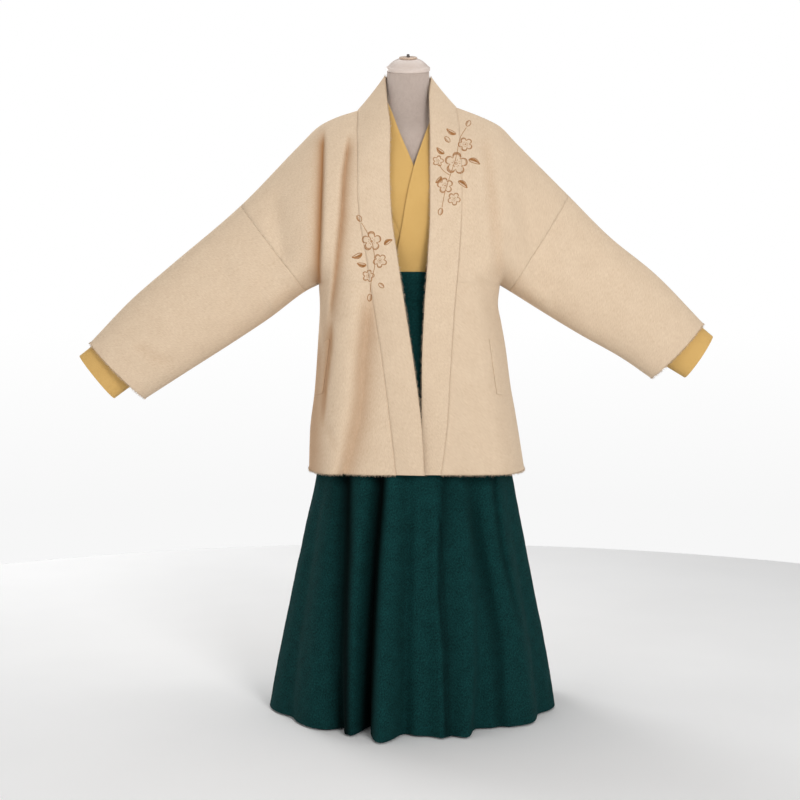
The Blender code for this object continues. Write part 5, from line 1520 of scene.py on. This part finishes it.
@dataclass
class Stitcher:
    """Lays raised threads on cloth pieces, placed by x and z in the front view."""

    cloth: Sequence[Object]
    vertices: list[Array] = field(default_factory=list)
    faces: list[tuple[int, ...]] = field(default_factory=list)

    ASIDE = (0.0, 0.9 * MM, -0.9 * MM, 1.8 * MM, -1.8 * MM)      # tries beside a seam's own gap
    HEIGHT = 0.55 * MM         # how far a thread stands up
    RING_MM, MOST_RINGS = 2.5, 5                 # spacing and number of a thread's rings
    END_SUNK, FOOT_SUNK = 0.15, 0.2              # mm that its ends and its feet lie in the cloth
    END_WIDTH = 0.6            # width at its ends, as a share of its middle
    FLANK_OUT, FLANK_UP = 0.6, 0.8               # its shoulders, as shares of half width and height
    SHORTEST = 0.8 * MM        # no shorter stem stitch is laid
    SHORTEST_SATIN = 1.2 * MM
    SHORT_TURN = 0.86          # every second satin thread is this much shorter

    def __post_init__(self) -> None:
        """Gather the cloth into one tree for rays from the front."""
        points, polygons = [], []
        for piece in self.cloth:
            start = len(points)
            points += [v.co.copy() for v in piece.data.vertices]
            polygons += [[start + v for v in p.vertices] for p in piece.data.polygons]
        self.tree = BVHTree.FromPolygons(points, polygons)

    def on_cloth(self, x: float, z: float) -> tuple[Array, Array]:
        """Find the cloth's front surface.

        Args:
            x: place across, in the wearer's frame.
            z: height.

        Returns:
            The point and its outward normal.
        """
        for aside in self.ASIDE:
            hit, normal, _, _ = self.tree.ray_cast(Vector((x + aside, -1.0, z)), Vector((0, 1, 0)))
            if hit is not None:
                out = np.array(normal)
                return np.array(hit) - np.array((aside, 0, 0)), out if out[1] < 0 else -out
        raise ValueError(f"no cloth at x {x:.3f}, z {z:.3f}")

    def stitch(self, a: Array, b: Array, width: float) -> None:
        """Lay one thread, thin at its ends and raised in the middle.

        Args:
            a: x and z of one end.
            b: x and z of the other.
            width: width of the thread.
        """
        length = float(np.linalg.norm(b - a))
        rings = max(2, min(self.MOST_RINGS, int(length / (self.RING_MM * MM)) + 1))
        base = sum(len(v) for v in self.vertices)
        points = []
        run = (b - a) / max(length, 1e-9)
        along = np.array([run[0], 0.0, run[1]])
        for k in range(rings + 2):
            t = k / (rings + 1)
            hit, out = self.on_cloth(*(a + (b - a) * t))
            if k in (0, rings + 1):
                points.append(hit - out * self.END_SUNK * MM)
                continue
            beside = np.cross(along, out)
            beside /= max(np.linalg.norm(beside), 1e-9)
            arch = math.sin(math.pi * t) ** 0.5
            half = width / 2 * (self.END_WIDTH + (1 - self.END_WIDTH) * arch)
            up, sunk = out * self.HEIGHT * arch, out * self.FOOT_SUNK * MM
            shoulder = beside * half * self.FLANK_OUT
            points += [hit + beside * half - sunk, hit + shoulder + up * self.FLANK_UP, hit + up,
                       hit - shoulder + up * self.FLANK_UP, hit - beside * half - sunk]
        self.vertices.append(np.array(points))
        first, last = base, base + len(points) - 1
        for k in range(5):
            n = (k + 1) % 5
            self.faces.append((first, first + 1 + n, first + 1 + k))
            self.faces.append((last, last - 5 + k, last - 5 + n))
            for ring in range(rings - 1):
                low = first + 1 + ring * 5
                self.faces.append((low + k, low + n, low + 5 + n, low + 5 + k))

    def outline(self, points: Array, width: float = 1.7 * MM) -> None:
        """Follow a line with overlapping slanted stem stitches.

        Args:
            points: x and z of its points.
            width: width of one thread.
        """
        sizes = np.linalg.norm(np.diff(points, axis=0), axis=1)
        before = np.concatenate([[0], np.cumsum(sizes)])
        pitch, reach, lean = 1.9 * MM, 4.2 * MM, 0.45 * MM
        for k in range(max(1, int(before[-1] / pitch))):
            ends = np.clip([k * pitch, k * pitch + reach], 0, before[-1])
            a, b = (np.array([np.interp(e, before, points[:, 0]),
                              np.interp(e, before, points[:, 1])])
                    for e in ends)
            run = b - a
            size = np.linalg.norm(run)
            if size < self.SHORTEST:
                continue
            side = np.array([-run[1], run[0]]) / size * lean
            self.stitch(a - side, b + side, width)

    def satin(self, first: Array, second: Array, pitch: float = 1.1 * MM,
              width: float = 1.05 * MM, reach: float = 1.0) -> None:
        """Fill between two lines with side-by-side threads.

        Args:
            first: points of the line where the threads start.
            second: as many points of the other line.
            pitch: spacing of the threads.
            width: width of a thread.
            reach: share of the way that the threads go towards the second line.
        """
        length = max(np.linalg.norm(np.diff(first, axis=0), axis=1).sum(),
                     np.linalg.norm(np.diff(second, axis=0), axis=1).sum())
        count = max(2, int(length / pitch))
        along = np.linspace(0, len(first) - 1, count)
        index = np.arange(len(first))
        for k, t in enumerate(along):
            a = np.array([np.interp(t, index, first[:, 0]), np.interp(t, index, first[:, 1])])
            b = np.array([np.interp(t, index, second[:, 0]), np.interp(t, index, second[:, 1])])
            b = a + (b - a) * reach * (1.0 if k % 2 else self.SHORT_TURN)
            if np.linalg.norm(b - a) > self.SHORTEST_SATIN:
                self.stitch(a, b, width)

    def finish(self, name: str, material: Material) -> Object:
        """Make one object of all the threads laid."""
        return mesh_object(name, np.concatenate(self.vertices), self.faces, material)


@dataclass(frozen=True)
class Motif:
    """Place, size and turn of a motif, with the way from its own plane to the front view."""

    x: float
    z: float
    size: float
    turn: float                # degrees, counter-clockwise as the viewer sees it

    def place(self, u: Array | float, v: Array | float) -> Array:
        """Points of the front view for points of the motif's own unit plane."""
        a = math.radians(self.turn)
        u, v = np.asarray(u, float) * self.size, np.asarray(v, float) * self.size
        return np.stack([self.x + u * math.cos(a) - v * math.sin(a),
                         self.z + u * math.sin(a) + v * math.cos(a)], axis=-1)


@dataclass
class Embroidery:
    """Plum twigs in brown thread on the coat's fronts, a generic design of this part's own."""

    stitcher: Stitcher

    PETALS = 5
    PETAL_TURN = 34            # degrees from a petal's middle to its side
    PETAL_SIDE = 0.50          # reach at its side, as a share of its middle
    STAMEN_TURN = 15           # degrees from a petal's middle to a stamen
    STAMEN = (0.20, 0.40)      # a stamen's ends, as shares of the blossom's radius
    HEART = 0.12
    LEAF_BEND, LEAF_SLANT = 0.10, 0.16           # as shares of the leaf's length
    LEAF_FILL = 0.9            # share of the leaf's first half that the threads cover
    BUD_WIDTH = 0.30

    def petal(self, motif: Motif, angle: float, fill: float) -> None:
        """One round petal, shaded inwards from its rim with side-by-side threads.

        Args:
            motif: the blossom.
            angle: the petal's direction in degrees.
            fill: how far the shading goes in from the rim.
        """
        t = np.linspace(-1, 1, 15)
        reach = self.PETAL_SIDE + (1 - self.PETAL_SIDE) * (1 - np.abs(t) ** 2.6) ** 0.7
        turn = np.radians(angle + self.PETAL_TURN * t)
        rim = motif.place(reach * np.cos(turn), reach * np.sin(turn))
        foot = reach * (1 - fill)
        inner = motif.place(foot * np.cos(turn), foot * np.sin(turn))
        self.stitcher.outline(rim, 1.5 * MM)
        self.stitcher.satin(rim[2:-2], inner[2:-2], pitch=1.6 * MM, width=1.2 * MM)

    def blossom(self, motif: Motif) -> None:
        """A plum blossom: five round petals, a ring for its heart and short stamens."""
        reach = np.array(self.STAMEN)
        for k in range(self.PETALS):
            middle = 360 // self.PETALS * k
            self.petal(motif, middle, 0.20 + 0.08 * (k % 2))
            for off in (-self.STAMEN_TURN, self.STAMEN_TURN):
                angle = math.radians(middle + off)
                self.stitcher.outline(motif.place(reach * math.cos(angle), reach * math.sin(angle)),
                                      1.0 * MM)
        t = np.linspace(0, 2 * np.pi, 11)
        self.stitcher.outline(motif.place(self.HEART * np.cos(t), self.HEART * np.sin(t)), 1.3 * MM)

    def leaf(self, motif: Motif, width: float) -> None:
        """A pointed leaf along its own u axis: outline, midrib and slanted satin threads.

        Args:
            motif: its foot, length and direction.
            width: half width as a share of its length.
        """
        t = np.linspace(0, 1, 13)
        ahead = np.clip(t + self.LEAF_SLANT, 0, 1)
        bend = self.LEAF_BEND * np.sin(np.pi * t)
        half = width * np.sin(np.pi * t ** 0.8) ** 0.9
        middle = motif.place(t, bend)
        for sign, filled in ((-1, self.LEAF_FILL * 0.5), (1, self.LEAF_FILL)):
            side = bend + sign * half
            slanted = motif.place(ahead, np.interp(ahead, t, side))
            self.stitcher.outline(motif.place(t, side))
            self.stitcher.satin(middle[1:-2], slanted[1:-2], 1.2 * MM, 1.3 * MM, filled)
        self.stitcher.outline(middle, 1.2 * MM)

    def bud(self, motif: Motif) -> None:
        """A closed bud on its short stem."""
        t = np.linspace(0, 1, 9)
        half = self.BUD_WIDTH * np.sin(np.pi * t) ** 0.7
        left, right = motif.place(t, half), motif.place(t, -half)
        self.stitcher.outline(left)
        self.stitcher.outline(right)
        self.stitcher.satin(left[1:-1], right[1:-1], pitch=1.5 * MM, reach=0.55)

    def stem(self, line: Line) -> None:
        """A stem through a few points."""
        points = np.array(line, float)
        at = np.linspace(0, len(points) - 1, 12)
        index = np.arange(len(points))
        bent = np.stack([smooth(at, index, points[:, k]) for k in (0, 1)], axis=1)
        self.stitcher.outline(bent, 1.2 * MM)

    def twig(self, stems: Sequence[Line], blossoms: Sequence[Row], buds: Sequence[Row],
             leaves: Sequence[Row], leaf_width: float) -> None:
        """Embroider one twig.

        Args:
            stems: points of each stem.
            blossoms: x, z, radius and turn of each blossom.
            buds: x, z, length and direction of each bud.
            leaves: x, z, length and direction of each leaf.
            leaf_width: half width of the leaves as a share of their length.
        """
        for line in stems:
            self.stem(line)
        for row in blossoms:
            self.blossom(Motif(*row))
        for row in buds:
            self.bud(Motif(*row))
        for row in leaves:
            self.leaf(Motif(*row), leaf_width)

    def left_front(self) -> None:
        """A plum twig on the wearer's left: its largest blossom amid small ones."""
        self.twig(
            stems=(((0.128, 1.290), (0.112, 1.262), (0.104, 1.222), (0.090, 1.178), (0.078, 1.140),
                    (0.072, 1.108)),
                   ((0.090, 1.178), (0.074, 1.190), (0.064, 1.206))),
            blossoms=((0.103, 1.205, 0.025, 12), (0.124, 1.249, 0.016, 40),
                      (0.079, 1.156, 0.017, 25), (0.064, 1.210, 0.012, 5),
                      (0.098, 1.127, 0.014, 60)),
            buds=((0.128, 1.292, 0.018, 62), (0.090, 1.252, 0.017, 128),
                  (0.071, 1.108, 0.017, -104)),
            leaves=((0.104, 1.272, 0.024, 150), (0.130, 1.214, 0.027, -24),
                    (0.107, 1.166, 0.025, -38), (0.071, 1.176, 0.019, 228),
                    (0.078, 1.226, 0.022, 140)),
            leaf_width=0.21)

    def right_front(self) -> None:
        """A trailing plum twig on the wearer's right: large blossom on top, buds at its tip."""
        self.twig(
            stems=(((-0.101, 1.076), (-0.088, 1.054), (-0.075, 1.022), (-0.072, 0.985),
                    (-0.080, 0.950), (-0.082, 0.926)),),
            blossoms=((-0.079, 1.036, 0.021, 20), (-0.061, 0.994, 0.015, 50),
                      (-0.086, 0.962, 0.013, 5)),
            buds=((-0.101, 1.078, 0.017, 122), (-0.082, 0.924, 0.017, -98),
                  (-0.064, 0.946, 0.015, -40)),
            leaves=((-0.099, 1.010, 0.024, 200), (-0.052, 1.028, 0.021, 32),
                    (-0.090, 0.985, 0.021, 168)),
            leaf_width=0.22)


@dataclass
class Nap:
    """Loose wool fibres along the coat's edges, each a slender spike."""

    finish: Material
    seed: int = 7
    length: tuple[float, float] = (2.5 * MM, 7.0 * MM)
    thick: float = 0.55 * MM   # real fibres are 0.03 mm; drawn thicker so that they show
    tangle: float = 0.55       # how far their directions stray
    stray: float = 0.5 * MM    # how far their roots stray
    rooted_mm: float = 0.6     # how deep they are rooted in the cloth

    def fringe(self, name: str, grids: Sequence[tuple[Array, Array, float]]) -> Object:
        """Build the fibres along lines of points.

        Args:
            name: name of the object.
            grids: for each line its points, the direction its fibres lean to at each point,
                and how many fibres a metre has.

        Returns:
            The fibres as one object.
        """
        random = np.random.default_rng(self.seed)
        roots, ways = [], []
        for points, lean, per_metre in grids:
            sizes = np.linalg.norm(np.diff(points, axis=0), axis=1)
            before = np.concatenate([[0], np.cumsum(sizes)])
            at = random.uniform(0, before[-1], int(before[-1] * per_metre))
            roots.append(np.stack([np.interp(at, before, points[:, k]) for k in range(3)], axis=1))
            ways.append(np.stack([np.interp(at, before, lean[:, k]) for k in range(3)], axis=1))
        root, way = np.concatenate(roots), np.concatenate(ways)
        count = len(root)
        way = way + random.normal(0, self.tangle, (count, 3))
        way /= np.linalg.norm(way, axis=1)[:, None]
        root = root + random.normal(0, self.stray, (count, 3)) - way * self.rooted_mm * MM
        side = np.cross(way, random.normal(0, 1, (count, 3)))
        side /= np.linalg.norm(side, axis=1)[:, None]
        other = np.cross(way, side)
        reach = random.uniform(*self.length, count)[:, None]
        corners = [root + self.thick / 2 * (side * math.cos(a) + other * math.sin(a))
                   for a in (0, 2 * math.pi / 3, 4 * math.pi / 3)]
        vertices = np.stack([*corners, root + way * reach], axis=1).reshape(-1, 3)
        start = (np.arange(count) * 4)[:, None]
        faces = np.concatenate([start + np.array(f)
                                for f in ((0, 1, 3), (1, 2, 3), (2, 0, 3), (2, 1, 0))])
        uv = np.repeat(root[:, None, :2], 12, axis=1).reshape(-1, 2)
        made = mesh_object(name, vertices, faces.tolist(), self.finish, uv)
        LOG.info("%s: %d fibres", name, count)
        return made


HEM_FIBRES, CUFF_FIBRES, BAND_FIBRES = 2600, 2200, 1500         # fibres a metre of edge


def coat_edges(grids: dict[str, Grid]) -> list[tuple[Array, Array, float]]:
    """Lines of the coat's free edges, with the way that their fibres lean.

    Args:
        grids: the coat's outer grids by node.

    Returns:
        Points, leans and fibres a metre of each edge.
    """
    edges = []
    for node in ("coat_front_right", "coat_front_left", "coat_back"):
        grid = grids[node]
        used = grid.corners()
        on = (used[0] | used[1])[-1]
        line = grid.points[-1, on]
        edges.append((line, np.tile((0.0, 0.0, -1.0), (len(line), 1)), HEM_FIBRES))
    for node in ("coat_sleeve_right", "coat_sleeve_left"):
        sleeve = grids[node].points
        cuff, beside = (-1, -2) if abs(sleeve[0, -1, 0]) > abs(sleeve[0, 0, 0]) else (0, 1)
        lean = sleeve[:, cuff] - sleeve[:, beside]
        edges.append((sleeve[:, cuff], lean / np.linalg.norm(lean, axis=1)[:, None], CUFF_FIBRES))
    collar = grids["coat_collar"].points
    inner = np.abs(collar[collar.shape[0] // 4, :, 0])
    edge, beside = (0, 1) if inner[0] < inner[-1] else (-1, -2)
    lean = collar[:, edge] - collar[:, beside]
    edges.append((collar[:, edge], lean / np.linalg.norm(lean, axis=1)[:, None], BAND_FIBRES))
    return edges


# Studio

@dataclass(frozen=True)
class Studio:
    """Plain pale floor, soft lights and the camera at the photograph's view."""

    camera_place: tuple[float, float, float] = (-0.018, -3.2, 0.846)
    camera_drop: float = 2.82  # degrees below level
    lens: float = 64.0
    paper_sine: float = 0.26   # sine of the height angle up to which the paper is white
    room_sine: float = 0.50    # and from which the room is dim
    room_light: float = 0.08
    ground_light: float = 0.93
    floor_radius: float = 2.4  # beyond it the white paper goes on
    floor_facets: int = 96

    def build(self) -> None:
        """Build the studio."""
        scene = bpy.context.scene
        data = bpy.data.cameras.new("studio_camera")
        data.lens = self.lens
        data.clip_end = 60.0
        camera = put_in_scene("studio_camera", data)
        camera.location = self.camera_place
        camera.rotation_euler = (math.radians(90 - self.camera_drop), 0, 0)
        scene.camera = camera
        scene.view_settings.view_transform = "Standard"
        self.sky()
        self.light("key", (1.5, -3.85, 2.1), (0, 0, 0.95), 1.1, 83)
        self.light("fill", (-2.3, -3.3, 1.9), (0, 0, 0.95), 1.6, 18)
        self.light("top", (0.0, 1.2, 4.2), (0, 0.8, 0.0), 3.6, 80)
        self.light("rear", (-2.2, 3.2, 2.4), (0, 0, 0.9), 1.8, 60)
        self.floor()

    def sky(self) -> None:
        """Surround the studio with white paper up to a man's height and a dimmer room above it."""
        world = bpy.data.worlds.new("studio_world")
        world.use_nodes = True
        tree = world.node_tree
        tree.nodes.clear()
        way = add_node(tree, "TexCoord").outputs["Generated"]
        up = add_node(tree, "SeparateXYZ", links={0: way}).outputs[2]
        wall = add_node(tree, "MapRange", {"From Min": self.paper_sine, "From Max": self.room_sine,
                                           "To Min": 1.0, "To Max": self.room_light},
                        {"Value": up}).outputs[0]
        ground = add_node(tree, "MapRange", {"From Min": -0.12, "From Max": 0.0,
                                             "To Min": self.ground_light, "To Max": 1.0},
                          {"Value": up}).outputs[0]
        bright = add_node(tree, "Math", {"operation": "MULTIPLY"}, {0: wall, 1: ground}).outputs[0]
        back = add_node(tree, "Background", {"Color": (1, 1, 1, 1)}, {"Strength": bright})
        add_node(tree, "OutputWorld", links={"Surface": back.outputs[0]})
        bpy.context.scene.world = world

    def light(self, name: str, place: tuple[float, float, float],
              target: tuple[float, float, float], size: float, power: float) -> None:
        """Hang one square soft box.

        Args:
            name: what the light is for.
            place: where it hangs.
            target: what it points at.
            size: length of its side.
            power: watts.
        """
        data = bpy.data.lights.new(f"studio_{name}", "AREA")
        data.size = size
        data.energy = power
        lamp = put_in_scene(f"studio_{name}", data)
        lamp.location = place
        lamp.rotation_euler = (Vector(target) - Vector(place)).to_track_quat("-Z", "Y").to_euler()

    def floor(self) -> None:
        """Lay the pale floor."""
        made, tree = new_material("matt_white_paper")
        place = add_node(tree, "TexCoord").outputs["Object"]
        mottle = add_node(tree, "TexNoise", {"Scale": 3.0}, {"Vector": place}).outputs[0]
        colour = add_node(tree, "Mix", {"data_type": "RGBA", 6: linear("#F4F4F4"),
                                        7: linear("#F9F9F9")}, {0: mottle}).outputs[2]
        close_material(tree, add_node(tree, "BsdfPrincipled", {"Roughness": 0.9},
                                      {"Base Color": colour}))
        mesh = bpy.data.meshes.new("studio_floor")
        turn = around(self.floor_facets)
        rim = np.stack([self.floor_radius * np.sin(turn), self.floor_radius * np.cos(turn),
                        np.full(self.floor_facets, FLOOR_Z)], axis=1)
        mesh.from_pydata(rim.tolist(), [], [tuple(range(self.floor_facets - 1, -1, -1))])
        mesh.materials.append(made)
        put_in_scene("studio_floor", mesh)


def main() -> None:
    """Build every sub-assembly in order and dress it."""
    logging.basicConfig(level=logging.INFO, format="%(name)s: %(message)s")
    Studio().build()

    wool, cotton = CAMEL_WOOL.build(), MUSTARD_COTTON.build()
    coat = Coat()
    pieces, grids, shape = coat.build(wool)
    stitcher = Stitcher([pieces[n] for n in ("coat_front_right", "coat_front_left", "coat_collar")])
    embroidery = Embroidery(stitcher)
    embroidery.left_front()
    embroidery.right_front()
    threads = stitcher.finish("coat_embroidery", THREAD.build())
    fibres = Nap(wool).fringe("coat_edge_fibres", coat_edges(grids))
    for node, piece in pieces.items():
        dressing = Dressing(node, "camel_wool", Held.HUNG, ("shirt_back_cotton",), "wool")
        declare(piece, grids[node], dressing)
    coat.welts(shape, wool)

    shirt = Shirt()
    shirt.build(cotton)
    skirt, green = Skirt(), GREEN_WOOL.build()
    skirt.build_gores(green)
    skirt.build_waist(green)
    form = DressForm()
    form.build_torso(shirt.shape(), FORM_LINEN.build())
    form.build_top()
    form.build_stand()


if __name__ == "__main__":
    main()
